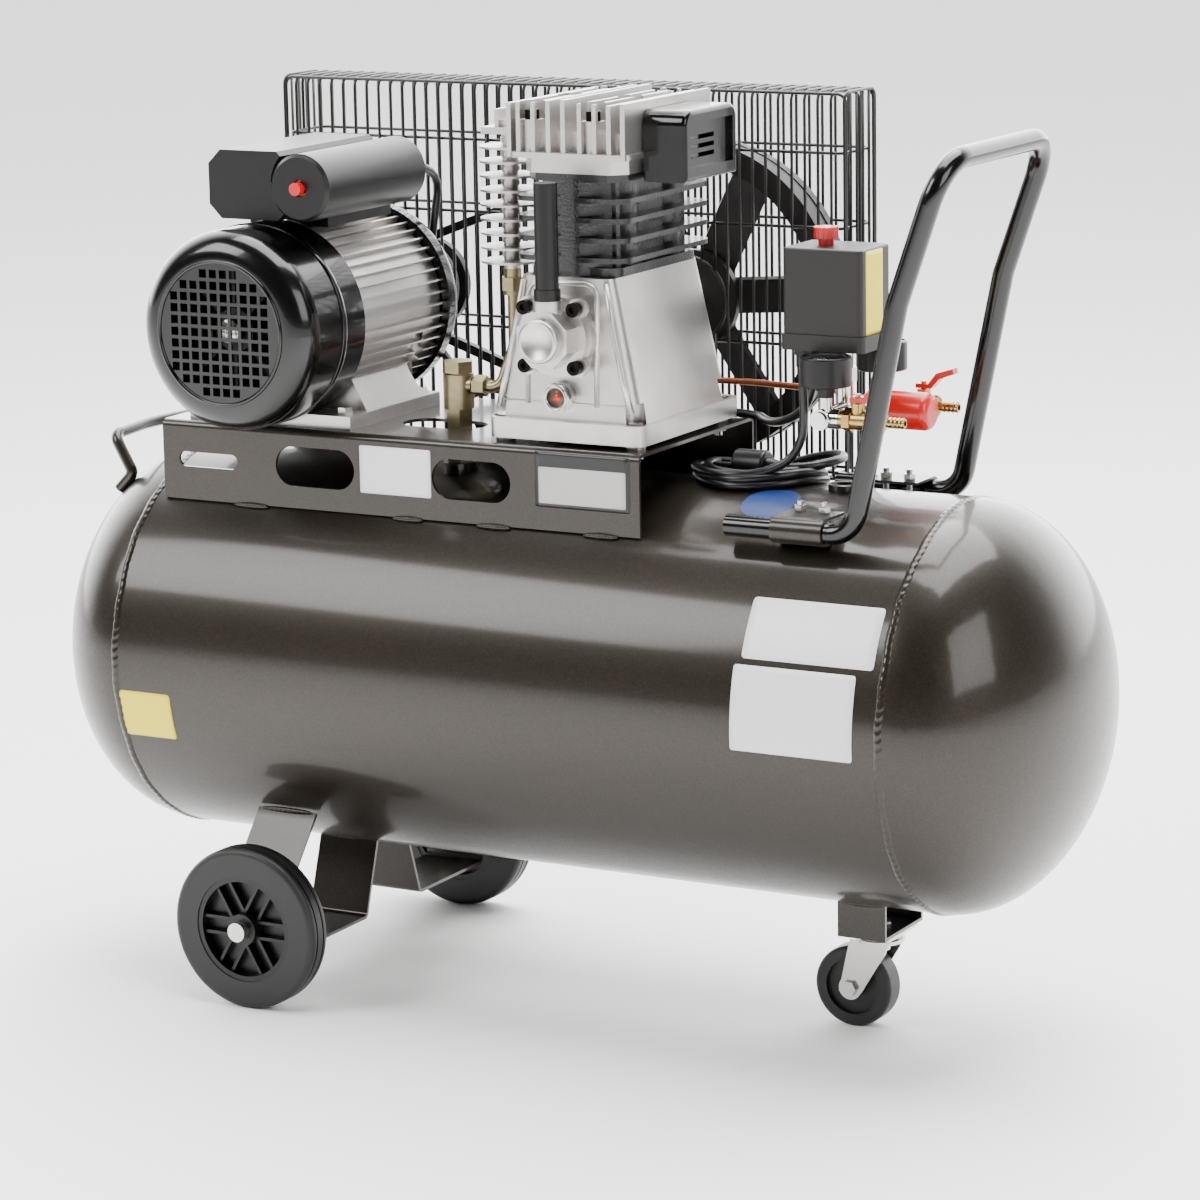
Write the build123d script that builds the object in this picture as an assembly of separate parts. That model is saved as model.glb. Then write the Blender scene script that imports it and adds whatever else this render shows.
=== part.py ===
from build123d import *
import os
from math import asin, atan2, cos, degrees, hypot, pi, radians, sin, sqrt, tan

# Belt-driven two-cylinder air compressor on a wheeled tank.  Millimetres, +Z up.
# +X runs along the tank towards the push handle, -Y is the side of the motor fan,
# and the floor is Z = 0, with the origin under the middle of the tank.

# ---- tank and its plate ----------------------------------------------------
TANK_R = 185.0
TANK_Z = 306.3          # tank axis above the floor
TANK_HALF = 391.5       # half the length of the straight barrel
DOME = 123.5            # depth of each dished head
WALL = 3.0
PLATE_X0, PLATE_X1 = -378.0, 127.0
PLATE_Y = 112.0
PLATE_TOP = 530.0
PLATE_SKIRT = 456.0     # lower edge of the plate's two flanges
VALVE_X, VALVE_Y = -102.0, -33.0
RISER_X = 274.0
DRAIN_X = -252.0

# ---- running gear ----------------------------------------------------------
WHEEL_X, WHEEL_Z = -245.0, 76.0
WHEEL_R, WHEEL_W = 76.0, 28.0
WHEEL_OUT = 206.5       # outer face of each big wheel
STRUT_Y = 168.0         # mid plane of the upright leg that carries the wheel
HUB_R = 50.0
AXLE_R = 6.0
RUN = 0.05              # radial running clearance of every turning fit
CASTER_X = 306.5        # swivel axis
CASTER_WHEEL_X, CASTER_R, CASTER_W = 284.0, 37.5, 25.0

# ---- handles ---------------------------------------------------------------
HANDLE_Y, HANDLE_R, HANDLE_BORE = 112.0, 9.6, 8.0
HANDLE_LOW, HANDLE_TOP = 475.0, 799.0
CLAMP_X0, CLAMP_X1 = 260.0, 309.0

# ---- motor -----------------------------------------------------------------
MOTOR_X, MOTOR_Z = -268.0, 625.0
MOTOR_R = 92.0
SHAFT_R = 12.0

# ---- pump ------------------------------------------------------------------
PUMP_X, CRANK_Z = 38.0, 628.5
MAIN_R = 12.0
STROKE = 46.0
BORE_R = 25.5
BORE_Y = (-35.0, 45.0)
DECK_Z, BLOCK_TOP, HEAD_Z = 680.0, 771.0, 784.0
COLUMN_X, COLUMN_Y = -50.0, -20.0   # finned discharge tube

# ---- belt drive ------------------------------------------------------------
BELT_Y = 182.5
FLY_R, PULLEY_R = 148.0, 45.0
BELT_DEEP = 4.0         # pitch line below the rim of each pulley

# ---- belt guard ------------------------------------------------------------
GUARD_X0, GUARD_X1 = -403.0, 204.0
GUARD_Y0, GUARD_Y1 = 150.0, 218.0
GUARD_Z0, GUARD_Z1 = 466.0, 828.0
WIRE = 3.0
WIRE_PITCH = 13.4
GUARD_ROWS = [126.0, 236.0, 305.0]   # level wires above the guard's bottom

# ---- air fittings ----------------------------------------------------------
BAR_Z = 562.0
TAPS = ((-40.0, 306.0, 351.0), (56.0, 325.0, 359.0))   # y, lever pivot x, tip x
GAUGES = ((276.0, -42.0, 591.0), (282.0, 60.0, 591.0))  # x, y, bottom z
GAUGE_R, GAUGE_H = 23.0, 26.5
SWITCH_X0, SWITCH_X1, SWITCH_Y = 228.0, 305.0, 30.0
SWITCH_Z0, SWITCH_Z1 = 619.0, 709.0
KNOB_X = 257.0

# ---- mains cord ------------------------------------------------------------
CORD_D = 8.0
COIL_X, COIL_Y = 175.0, 27.0
COIL_IN, COIL_OUT, COIL_H = 38.0, 67.0, 20.0
GLANDS = ((240.0, -14.0), (240.0, 10.0))
PLUG_Y = 9.0


# ---- small helpers ---------------------------------------------------------
def block(x0, x1, y0, y1, z0, z1):
    return Pos((x0 + x1) / 2, (y0 + y1) / 2, (z0 + z1) / 2) * Box(x1 - x0, y1 - y0, z1 - z0)


def rod_x(x0, x1, y, z, r):
    return Pos((x0 + x1) / 2, y, z) * Rot(0, 90, 0) * Cylinder(r, x1 - x0)


def rod_y(x, y0, y1, z, r):
    return Pos(x, (y0 + y1) / 2, z) * Rot(90, 0, 0) * Cylinder(r, y1 - y0)


def rod_z(x, y, z0, z1, r):
    return Pos(x, y, (z0 + z1) / 2) * Cylinder(r, z1 - z0)


def hex_z(x, y, z0, z1, flats):
    return Pos(x, y, z0) * extrude(RegularPolygon(flats / 2, 6, major_radius=False), z1 - z0)


def hex_x(x0, x1, y, z, flats):
    return Pos(x0, y, z) * Rot(0, 90, 0) * extrude(RegularPolygon(flats / 2, 6, major_radius=False), x1 - x0)


def hex_y(x, y0, y1, z, flats):
    return Pos(x, y1, z) * Rot(90, 0, 0) * extrude(RegularPolygon(flats / 2, 6, major_radius=False), y1 - y0)


def across(shape):
    """The same piece on the other side of the tank's middle plane."""
    return mirror(shape, Plane.XZ)


def pipe(points, radii, r, bore=0.0):
    """A round bar or tube along straight runs joined by tangent arcs."""
    path = FilletPolyline(*points, radius=radii)
    section = Circle(r) - Circle(bore) if bore else Circle(r)
    return sweep(Plane(origin=path @ 0, z_dir=path % 0) * section, path=path)


def soft_radii(points, name):
    """Each corner's radius: 0.45 of its shorter run over the tangent of half its turn."""
    radii = []
    for before, here, after in zip(points, points[1:], points[2:]):
        run_in = Vector(*here) - Vector(*before)
        run_out = Vector(*after) - Vector(*here)
        half_turn = radians(run_in.get_angle(run_out)) / 2
        radii.append(0.45 * min(run_in.length, run_out.length) / tan(half_turn))
    print(name, "radii", [round(r, 1) for r in radii])
    return radii


def tank_top(y):
    """Height of the barrel's upper surface at a distance y from the middle."""
    return TANK_Z + sqrt(TANK_R**2 - y**2)


def save(name, shape):
    export_step(shape, f"parts/{name}.step")


# ---- tank ------------------------------------------------------------------
def tank_barrel():
    """Rolled barrel with three welded screw sockets: check valve, riser and drain."""
    shell = rod_x(-TANK_HALF, TANK_HALF, 0, TANK_Z, TANK_R)
    shell += rod_z(VALVE_X, VALVE_Y, 480, 496, 16)
    shell += rod_z(RISER_X, 0, 480, 497, 15)
    shell += rod_z(DRAIN_X, 0, 113, 130, 13)
    shell -= rod_x(-TANK_HALF, TANK_HALF, 0, TANK_Z, TANK_R - WALL)
    shell -= rod_z(VALVE_X, VALVE_Y, 470, 500, 9)
    shell -= rod_z(RISER_X, 0, 470, 500, 8)
    return shell - rod_z(DRAIN_X, 0, 110, 140, 5)


def half_ellipsoid(depth, radius):
    """A quarter ellipse turned about the tank's axis, flat at the barrel's end."""
    middle = (TANK_HALF, 0)
    arc = EllipticalCenterArc(middle, depth, radius, start_angle=0, arc_size=90)
    face = make_face([arc, Line(arc @ 1, middle), Line(middle, arc @ 0)])
    return Pos(0, 0, TANK_Z) * revolve(face, Axis.X)


def tank_head(side):
    """Dished end, hollow and open towards the barrel."""
    head = half_ellipsoid(DOME, TANK_R) - half_ellipsoid(DOME - WALL, TANK_R - WALL)
    return head if side > 0 else mirror(head, Plane.YZ)


def obround(x, z, length, height):
    """A round-ended hole through both flanges of the plate."""
    slot = Rot(90, 0, 0) * SlotOverall(length, height)
    return Pos(x, 200, z) * extrude(slot, 400, both=False)


def top_plate():
    """Bent channel that carries motor and pump, with tabs that hold the belt guard."""
    plate = block(PLATE_X0, PLATE_X1, -PLATE_Y, PLATE_Y, PLATE_SKIRT, PLATE_TOP)
    plate = fillet(plate.edges().filter_by(Axis.X).group_by(Axis.Z)[-1], 6)
    inside = block(PLATE_X0, PLATE_X1, -PLATE_Y + WALL, PLATE_Y - WALL, PLATE_SKIRT, PLATE_TOP - WALL)
    plate -= fillet(inside.edges().filter_by(Axis.X).group_by(Axis.Z)[-1], 3)
    plate -= obround(-328, 494, 65, 14)
    plate -= obround(-211, 495, 85, 37)
    plate -= obround(-45, 495, 82, 37)
    plate -= Pos(-118, -32, 500) * extrude(SlotOverall(84, 46), 60)
    for x in (-335, 60):
        plate += block(x, x + 30, PLATE_Y - 8, GUARD_Y0, PLATE_TOP - WALL, PLATE_TOP)
    for x, y in motor_bolt_places() + pump_bolt_places():
        plate -= rod_z(x, y, 500, 540, 4.2)
    return plate


def end_handle():
    """Bent rod welded to the left head, to lift that end of the tank."""
    half = [(-459, 70, 451), (-443, 70, 467), (-466, 66, 502), (-472, 0, 503)]
    route = half + [(x, -y, z) for x, y, z in reversed(half[:-1])]
    return pipe(route, [7, 12, 200, 12, 7], 5.5)


# ---- running gear ----------------------------------------------------------
def strut(outline):
    """A strip 63 wide bent along an outline of (y, z) points."""
    width = 63
    path = FilletPolyline(*[(y, z) for y, z in outline], radius=5)
    strip = extrude(Plane.YZ * trace(path, WALL), width)
    return Pos(WHEEL_X - width / 2 + 5, 0, 0) * strip


def wheel_bracket():
    """Bent strip from the tank's flank down to the wheel and back up under the tank."""
    outline = [(-131, 172), (-STRUT_Y, 128), (-STRUT_Y, 51.5), (-49, 51.5), (-26, 121)]
    return strut(outline) - rod_y(WHEEL_X, -200, -150, WHEEL_Z, AXLE_R + 0.3)


def caster_bracket():
    """Channel welded under the tank, its web level for the caster's plate."""
    legs = block(283, 330, -40, 40, 92, 130) - block(280, 333, -37, 37, 95, 140)
    legs -= rod_x(200, 400, 0, TANK_Z, TANK_R + 0.1)
    return legs - rod_z(CASTER_X, 0, 90, 100, 6.3)


def tyre():
    """Solid rubber tyre with two grooves round its tread."""
    y0, y1 = -WHEEL_OUT, -WHEEL_OUT + WHEEL_W
    ring = fillet(rod_y(WHEEL_X, y0, y1, WHEEL_Z, WHEEL_R).edges().filter_by(GeomType.CIRCLE), 6)
    for y in (y0 + 9, y1 - 9):
        groove = rod_y(WHEEL_X, y - 1, y + 1, WHEEL_Z, WHEEL_R + 2)
        ring -= groove - rod_y(WHEEL_X, y - 2, y + 2, WHEEL_Z, WHEEL_R - 2)
    return ring - rod_y(WHEEL_X, y0, y1, WHEEL_Z, HUB_R)


def hub():
    """Moulded hub: rim, thin web, bored boss and six pairs of ribs on the outer face."""
    y0, y1 = -WHEEL_OUT + 1, -WHEEL_OUT + WHEEL_W - 1
    middle = (y0 + y1) / 2
    body = rod_y(WHEEL_X, y0, y1, WHEEL_Z, HUB_R) - rod_y(WHEEL_X, y0, y1, WHEEL_Z, HUB_R - 5)
    body += rod_y(WHEEL_X, middle - 2, middle + 2, WHEEL_Z, HUB_R - 4)
    body += rod_y(WHEEL_X, -WHEEL_OUT - 2.5, -STRUT_Y - 4.5, WHEEL_Z, 15)
    rib = block(12, HUB_R - 4, y0 + 3, middle, -9, -6) + block(12, HUB_R - 4, y0 + 3, middle, 6, 9)
    for turn in range(6):
        body += Pos(WHEEL_X, 0, WHEEL_Z) * Rot(0, 60 * turn, 0) * rib
    return body - rod_y(WHEEL_X, -250, -150, WHEEL_Z, AXLE_R + RUN)


def caster_plate():
    """Top plate of the swivel caster with its ball race and riveted king pin."""
    plate = block(284, 329, -30, 30, 89, 92) + rod_z(CASTER_X, 0, 84.5, 89, 19)
    plate += rod_z(CASTER_X, 0, 77, 98, AXLE_R)
    return plate + rod_z(CASTER_X, 0, 73, 77, 9) + hex_z(CASTER_X, 0, 95, 99, 18)


def caster_fork():
    """Pressed fork that trails the wheel, with its axle bolt and nut."""
    crown = rod_z(CASTER_X, 0, 81, 84.2, 22)
    cheek = Polyline((CASTER_X - 22, 84.2), (CASTER_X + 16, 84.2), (CASTER_X + 12, 72),
                     (CASTER_WHEEL_X + 11, CASTER_R - 4), (CASTER_WHEEL_X - 11, CASTER_R - 4),
                     (CASTER_X - 25, 72), close=True)
    cheek = extrude(Plane.XZ * make_face(cheek), 2.5)
    cheek += rod_y(CASTER_WHEEL_X, -2.5, 0, CASTER_R, 11)
    fork = crown + Pos(0, -15, 0) * cheek + Pos(0, 17.5, 0) * cheek
    fork += block(CASTER_X - 22, CASTER_X + 16, -17.5, 17.5, 81, 84.2)
    fork -= rod_z(CASTER_X, 0, 70, 90, AXLE_R + RUN)
    fork += rod_y(CASTER_WHEEL_X, -18, 18, CASTER_R, 4)
    fork += hex_y(CASTER_WHEEL_X, -22, -17.5, CASTER_R, 13)
    return fork + hex_y(CASTER_WHEEL_X, 17.5, 22.5, CASTER_R, 13)


def caster_wheel():
    """Small solid wheel with a dished face and a bored hub."""
    half = CASTER_W / 2
    disc = rod_y(CASTER_WHEEL_X, -half, half, CASTER_R, CASTER_R)
    disc = fillet(disc.edges().filter_by(GeomType.CIRCLE), 4)
    for y0, y1 in ((-half, -half + 5), (half - 5, half)):
        disc -= rod_y(CASTER_WHEEL_X, y0, y1, CASTER_R, 26) - rod_y(CASTER_WHEEL_X, y0, y1, CASTER_R, 11)
    disc += rod_y(CASTER_WHEEL_X, -14.5, 14.5, CASTER_R, 8)
    return disc - rod_y(CASTER_WHEEL_X, -20, 20, CASTER_R, 4 + RUN)


def drain_screw():
    """Brass drain screw with a knurled thumb head under the tank."""
    return rod_z(DRAIN_X, 0, 108, 128, 4.95) + rod_z(DRAIN_X, 0, 100, 112.5, 9)


# ---- push handle -----------------------------------------------------------
def push_handle():
    """One bent tube: two feet along the tank, two raked legs and a crossbar."""
    half = [(214, -HANDLE_Y, HANDLE_LOW), (335, -HANDLE_Y, HANDLE_LOW), (377, -HANDLE_Y, 676),
            (420, -HANDLE_Y, HANDLE_TOP)]
    route = half + [(x, -y, z) for x, y, z in reversed(half)]
    return pipe(route, [26, 60, 38, 38, 60, 26], HANDLE_R, HANDLE_BORE)


def handle_clamp():
    """Strap bent round the outer side of the tube, with a bolted tab over the tank."""
    span = CLAMP_X1 - CLAMP_X0
    inner, outer = HANDLE_R + 0.1, HANDLE_R + 2.6
    section = Pos(-HANDLE_Y, HANDLE_LOW) * Circle(outer)
    section += Pos((-HANDLE_Y - 76) / 2, HANDLE_LOW + (inner + outer) / 2) * Rectangle(36, outer - inner)
    section += Pos((-HANDLE_Y - 98) / 2, HANDLE_LOW - (inner + outer) / 2) * Rectangle(14, outer - inner)
    section -= Pos(-HANDLE_Y, HANDLE_LOW) * Circle(inner)
    section -= Pos(-HANDLE_Y + 10, HANDLE_LOW) * Rectangle(20, 2 * inner)
    strap = Pos(CLAMP_X0, 0, 0) * extrude(Plane.YZ * section, span)
    for x in clamp_bolt_xs():
        strap -= rod_z(x, -88, 470, 500, 3.2)
    return strap - rod_x(CLAMP_X0 - 5, CLAMP_X1 + 5, 0, TANK_Z, TANK_R + 0.1)


def clamp_bolt_xs():
    return (CLAMP_X0 + 13, CLAMP_X1 - 13)


def frame_bolts():
    """All plain hexagon bolts: motor foot, pump base, handle clamps and wheel axles."""
    top = PLATE_TOP + 12
    group = []
    for x, y in motor_bolt_places():
        group.append(hex_z(x, y, top, top + 6, 13) + rod_z(x, y, 520, top, 4) + hex_z(x, y, 521, 527, 13))
    for x, y in pump_bolt_places():
        group.append(hex_z(x, y, 547, 553, 13) + rod_z(x, y, 517, 547, 4) + hex_z(x, y, 521, 527, 13))
    for x in clamp_bolt_xs():
        stud = rod_z(x, -88, tank_top(85) + 0.3, 497, 3) + hex_z(x, -88, 487.6, 493, 10)
        group += [stud, across(stud)]
    axle = rod_y(WHEEL_X, -212, -154, WHEEL_Z, AXLE_R) + rod_y(WHEEL_X, -218, -209.5, WHEEL_Z, 9)
    axle += hex_y(WHEEL_X, -166.5, -157, WHEEL_Z, 18)
    axle += rod_y(WHEEL_X, -STRUT_Y - 4, -STRUT_Y - 1.5, WHEEL_Z, 11)
    return Compound(children=group + [axle, across(axle)])


def motor_bolt_places():
    return [(MOTOR_X + dx, y) for dx in (-72, 72) for y in (-80, 44)]


def pump_bolt_places():
    return [(x, y) for x in (-26, 107) for y in (-80, 80)]


# ---- motor -----------------------------------------------------------------
def motor_frame():
    """Finned aluminium housing on a splayed foot, open at both ends."""
    y0, y1 = -73, 78
    body = rod_y(MOTOR_X, y0, y1, MOTOR_Z, 82)
    for turn in range(50):
        body += Pos(MOTOR_X, 0, MOTOR_Z) * Rot(0, 7.2 * turn, 0) * block(80, 88, y0, y1, -0.8, 0.8)
    foot = Polyline((-84, 542), (84, 542), (66, 575), (-66, 575), close=True)
    body += Pos(MOTOR_X, 50, 0) * extrude(Plane.XZ * make_face(foot), 112)
    body += block(MOTOR_X - 88, MOTOR_X + 88, -98, 62, PLATE_TOP, PLATE_TOP + 12)
    body -= rod_y(MOTOR_X, y0, y1, MOTOR_Z, 74)
    body -= rod_y(MOTOR_X, -110, y0, MOTOR_Z, MOTOR_R + 0.3)
    for x, y in motor_bolt_places():
        body -= rod_z(x, y, 520, 560, 4.2)
        body -= rod_z(x, y, PLATE_TOP + 12, 600, 9)
    return body


def motor_shields():
    """Front and rear end shields, each with a bearing seat."""
    front = rod_y(MOTOR_X, -105, -73, MOTOR_Z, MOTOR_R) - rod_y(MOTOR_X, -97, -73, MOTOR_Z, 84)
    front += rod_y(MOTOR_X, -97, -85, MOTOR_Z, 30)
    front -= rod_y(MOTOR_X, -105, -85, MOTOR_Z, 23.5)
    rear = rod_y(MOTOR_X, 78, 100, MOTOR_Z, MOTOR_R)
    rear = fillet(rear.edges().filter_by(GeomType.CIRCLE).sort_by(Axis.Y)[-1], 12)
    rear += rod_y(MOTOR_X, 100, 106, MOTOR_Z, 34)
    rear -= rod_y(MOTOR_X, 78, 92, MOTOR_Z, 84)
    rear += rod_y(MOTOR_X, 84, 92, MOTOR_Z, 30)
    rear -= rod_y(MOTOR_X, 84, 98, MOTOR_Z, 23.5)
    return Compound(children=[front, rear - rod_y(MOTOR_X, 78, 110, MOTOR_Z, 13)])


def fan_cover():
    """Pressed cap over the fan, its rounded face pierced by a field of square holes."""
    y0, y1 = -175, -105
    cap = rod_y(MOTOR_X, y0, y1, MOTOR_Z, MOTOR_R)
    cap = fillet(cap.edges().filter_by(GeomType.CIRCLE).sort_by(Axis.Y)[0], 25)
    inside = rod_y(MOTOR_X, y0 + 2, y1, MOTOR_Z, MOTOR_R - 2)
    cap -= fillet(inside.edges().filter_by(GeomType.CIRCLE).sort_by(Axis.Y)[0], 23)
    pitch, hole = 10.8, 7.6
    for i in range(10):
        for k in range(11):
            x, z = (i - 4.5) * pitch, (k - 5) * pitch
            if hypot(x, z) < 5.45 * pitch:
                cap -= Pos(MOTOR_X + x, y0, MOTOR_Z + z) * Box(hole, 8, hole)
    return cap


def stator():
    """Laminated core pressed into the frame, with its copper end windings as plain rings."""
    core = rod_y(MOTOR_X, -45, 45, MOTOR_Z, 74) + rod_y(MOTOR_X, -66, 66, MOTOR_Z, 64)
    return core - rod_y(MOTOR_X, -66, 66, MOTOR_Z, 42)


def rotor():
    """Squirrel-cage core on its shaft, with the cooling fan on the free end."""
    shaft = rod_y(MOTOR_X, -160, 205, MOTOR_Z, SHAFT_R)
    core = rod_y(MOTOR_X, -45, 45, MOTOR_Z, 41.5) - rod_y(MOTOR_X, -45, 45, MOTOR_Z, SHAFT_R)
    fan = rod_y(MOTOR_X, -125, -120, MOTOR_Z, 74) + rod_y(MOTOR_X, -150, -120, MOTOR_Z, 20)
    for turn in range(8):
        fan += Pos(MOTOR_X, 0, MOTOR_Z) * Rot(0, 45 * turn, 0) * block(18, 74, -150, -124, -1.5, 1.5)
    fan -= rod_y(MOTOR_X, -150, -120, MOTOR_Z, SHAFT_R)
    return Compound(children=[shaft, core, fan])


def shaft_bearings():
    """Ball bearings as plain rings: two in the motor, two in the crankcase."""
    group = []
    for y in (-103, 84.5):
        ring = rod_y(MOTOR_X, y, y + 13, MOTOR_Z, 23.5)
        group.append(ring - rod_y(MOTOR_X, y, y + 13, MOTOR_Z, SHAFT_R + RUN))
    for y in (-96, 86):
        ring = rod_y(PUMP_X, y, y + 14, CRANK_Z, 26)
        group.append(ring - rod_y(PUMP_X, y, y + 14, CRANK_Z, MAIN_R + RUN))
    return Compound(children=group)


def capacitor_box():
    """Moulded terminal box with the capacitor's round housing beside it."""
    box = block(-312, -225, -118, 43, 722, 785)
    box = chamfer(box.edges().filter_by(Axis.Y), 13)
    box -= rod_y(-207, -118, 43, 754, 38) - block(-260, -150, -118, 43, 700, 757)
    tub = rod_y(-207, -130, 43, 754, 31)
    tub = chamfer(tub.edges().filter_by(GeomType.CIRCLE), 3)
    box += tub + block(-300, -215, -70, 40, 712, 722)
    box -= rod_y(MOTOR_X, -140, 60, MOTOR_Z, MOTOR_R + 0.3)
    return box - rod_y(-207, -131, -120, 754, 8)


def reset_button():
    """Round button of the overload switch."""
    return rod_y(-207, -137, -124, 754, 6) + rod_y(-207, -126, -124, 754, 7.6)


def motor_pulley():
    """Single-groove pulley on the motor shaft."""
    return Pos(MOTOR_X, BELT_Y, MOTOR_Z) * grooved_disc(PULLEY_R, 15, SHAFT_R)


# ---- belt drive ------------------------------------------------------------
def grooved_disc(radius, half_width, bore):
    """A disc about Y with one V groove in its rim."""
    top, bottom, deep = 7.2, 3.8, 10.5
    outline = Polyline((bore, -half_width), (radius, -half_width), (radius, -top), (radius - deep, -bottom),
                       (radius - deep, bottom), (radius, top), (radius, half_width), (bore, half_width),
                       close=True)
    return revolve(make_face(outline), Axis.Y)


def flywheel():
    """Cast wheel: grooved rim, hub and six broad slanted blades that also blow air."""
    half = 17.5
    rim = grooved_disc(FLY_R, half, 126)
    wheel = rim + rod_y(0, -half, half, 0, 27) + rod_y(0, -half, -half + 8, 0, 46)
    blade = Rot(28, 0, 0) * block(24, 128, -2.5, 2.5, -19, 19)
    blade &= rod_y(0, -half, half, 0, 128)
    for turn in range(6):
        wheel += Rot(0, 60 * turn - 4, 0) * blade
    wheel -= rod_y(0, -20, 20, 0, MAIN_R)
    return Pos(PUMP_X, BELT_Y, CRANK_Z) * wheel


def drive_belt():
    """V belt: its trapezoid carried round both pitch circles and their two tangents."""
    big, small = FLY_R - BELT_DEEP, PULLEY_R - BELT_DEEP
    dx, dz = MOTOR_X - PUMP_X, MOTOR_Z - CRANK_Z
    along = degrees(atan2(dz, dx))
    lean = degrees(asin((big - small) / hypot(dx, dz)))
    first, last = along + 90 - lean, along - 90 + lean

    def on(x, z, r, angle):
        return (x + r * cos(radians(angle)), z + r * sin(radians(angle)))

    far = on(PUMP_X, CRANK_Z, big, along + 180)
    near = on(MOTOR_X, MOTOR_Z, small, along)
    up_big, up_small = on(PUMP_X, CRANK_Z, big, first), on(MOTOR_X, MOTOR_Z, small, first)
    low_big, low_small = on(PUMP_X, CRANK_Z, big, last), on(MOTOR_X, MOTOR_Z, small, last)
    loop = Wire([ThreePointArc(low_big, far, up_big), Line(up_big, up_small),
                 ThreePointArc(up_small, near, low_small), Line(low_small, low_big)])
    loop = Pos(0, BELT_Y, 0) * Rot(90, 0, 0) * loop
    start = Plane(origin=loop @ 0, x_dir=(0, 1, 0), z_dir=loop % 0)
    away = 1 if start.y_dir.dot(Vector(*(loop @ 0)) - Vector(PUMP_X, BELT_Y, CRANK_Z)) > 0 else -1
    section = Polygon((-6.5, 3 * away), (6.5, 3 * away), (3.9, -5 * away), (-3.9, -5 * away), align=None)
    return sweep(start * section, path=loop)


# ---- pump ------------------------------------------------------------------
def crankcase():
    """Tapered hollow casting on a flanged base, with bearing bosses front and rear."""
    base = block(-36, 122, -97, 97, PLATE_TOP + 4, 552)
    base = fillet(base.edges().filter_by(Axis.Z), 12)
    for x in (-26, 107):
        for y in (-80, 80):
            base += rod_z(x, y, PLATE_TOP, PLATE_TOP + 5, 9)
    low = Pos(42, 0, 551) * RectangleRounded(146, 178, 12)
    high = Pos(40.5, 0, DECK_Z) * RectangleRounded(93, 168, 10)
    case = base + loft([low, high])
    case += rod_y(PUMP_X, -98, 98, CRANK_Z, 36)
    hollow_low = Pos(PUMP_X, 0, 545) * Rectangle(96, 156)
    hollow_high = Pos(PUMP_X, 0, DECK_Z + 1) * Rectangle(76, 150)
    case -= loft([hollow_low, hollow_high])
    case -= rod_y(PUMP_X, -98, 98, CRANK_Z, 26)
    case -= rod_y(PUMP_X, -100, -60, 574, 10)
    for x, y in pump_bolt_places():
        case -= rod_z(x, y, 520, 560, 4.2)
        case -= rod_z(x, y, 547, 570, 10)
    return case


def cylinder_block():
    """Cast-iron block with two bores and five broad cooling fins."""
    low = block(-4, 88, -73, 83, DECK_Z, DECK_Z + 8)
    low = fillet(low.edges().filter_by(Axis.Z), 14)
    top = block(-6, 94, -76, 86, BLOCK_TOP - 7, BLOCK_TOP)
    low += chamfer(top.edges().filter_by(Axis.Z), 14)
    low += block(6, 80, -60, 70, DECK_Z, BLOCK_TOP)
    for y in BORE_Y:
        low += rod_z(PUMP_X + 4, y, DECK_Z, BLOCK_TOP, 42)
    for z in (693.5, 711, 728.5, 746):
        fin = block(-15, 99, -82, 92, z, z + 4.5)
        low += fillet(fin.edges().filter_by(Axis.Z), 18)
    low -= block(PUMP_X - 13, PUMP_X + 13, -100, -76, 660, 775)
    for y in BORE_Y:
        low -= rod_z(PUMP_X, y, DECK_Z, BLOCK_TOP, BORE_R)
    return low


def valve_plate():
    """Plate between block and head, its reed valves shown as port holes."""
    plate = block(-8, 96, -76, 86, BLOCK_TOP, HEAD_Z)
    plate = chamfer(plate.edges().filter_by(Axis.Z), 12)
    for y in BORE_Y:
        plate -= rod_z(PUMP_X - 10, y, BLOCK_TOP, HEAD_Z, 5)
        plate -= rod_z(PUMP_X + 10, y, BLOCK_TOP, HEAD_Z, 5)
    return plate


def head_bolt_places():
    return [(x, y) for x in (-1, 61) for y in (-64, 5, 74)]


def cylinder_head():
    """Aluminium head: flange, hollow chambers, upright fins, bolt pillars and outlet ledge."""
    y0, y1 = -80, 90
    head = block(-21, 101, y0, y1, HEAD_Z, HEAD_Z + 5)
    head = fillet(head.edges().filter_by(Axis.Z), 12)
    head += block(-6, 88, y0 + 16, y1 - 16, HEAD_Z, HEAD_Z + 22)
    for x, top in ((-18, 832), (22, 835), (37, 836), (83, 832), (97, 834)):
        head += block(x - 2.2, x + 2.2, y0 + 3, y1 - 3, HEAD_Z, top)
    for x in (-9, 6, 53, 68):
        head += block(x - 2, x + 2, y0 + 4, y1 - 4, HEAD_Z, 833)
    for x, y in head_bolt_places():
        head -= rod_z(x, y, 817, 850, 12)
        head += rod_z(x, y, HEAD_Z, 817, 8)
    head += block(-66, -16, -44, 22, 800, 806) + block(-52, -16, -36, 10, 803, 812)
    head += block(-54, -50, -40, 84, 800, 822) + block(-38, -34, -40, 84, 800, 826)
    head += block(-54, -16, 60, 84, 800, 806)
    head -= block(4, 34, -56, 66, HEAD_Z, HEAD_Z + 12)
    head -= block(42, 72, -56, 66, HEAD_Z, HEAD_Z + 12)
    return head - rod_z(COLUMN_X, COLUMN_Y, 795, 808, 5)


def pump_bolts():
    """Black socket screws: six on the head and four on the bearing cover."""
    group = [rod_z(x, y, 817, 826, 6.5) - rod_z(x, y, 820, 826, 3) for x, y in head_bolt_places()]
    for x, z in cover_bolt_places():
        screw = rod_y(x, -113, -105, z, 6.5) - rod_y(x, -113, -110, z, 3)
        group.append(screw + rod_y(x, -105, -98.5, z, 3.5))
    return Compound(children=group)


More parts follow.
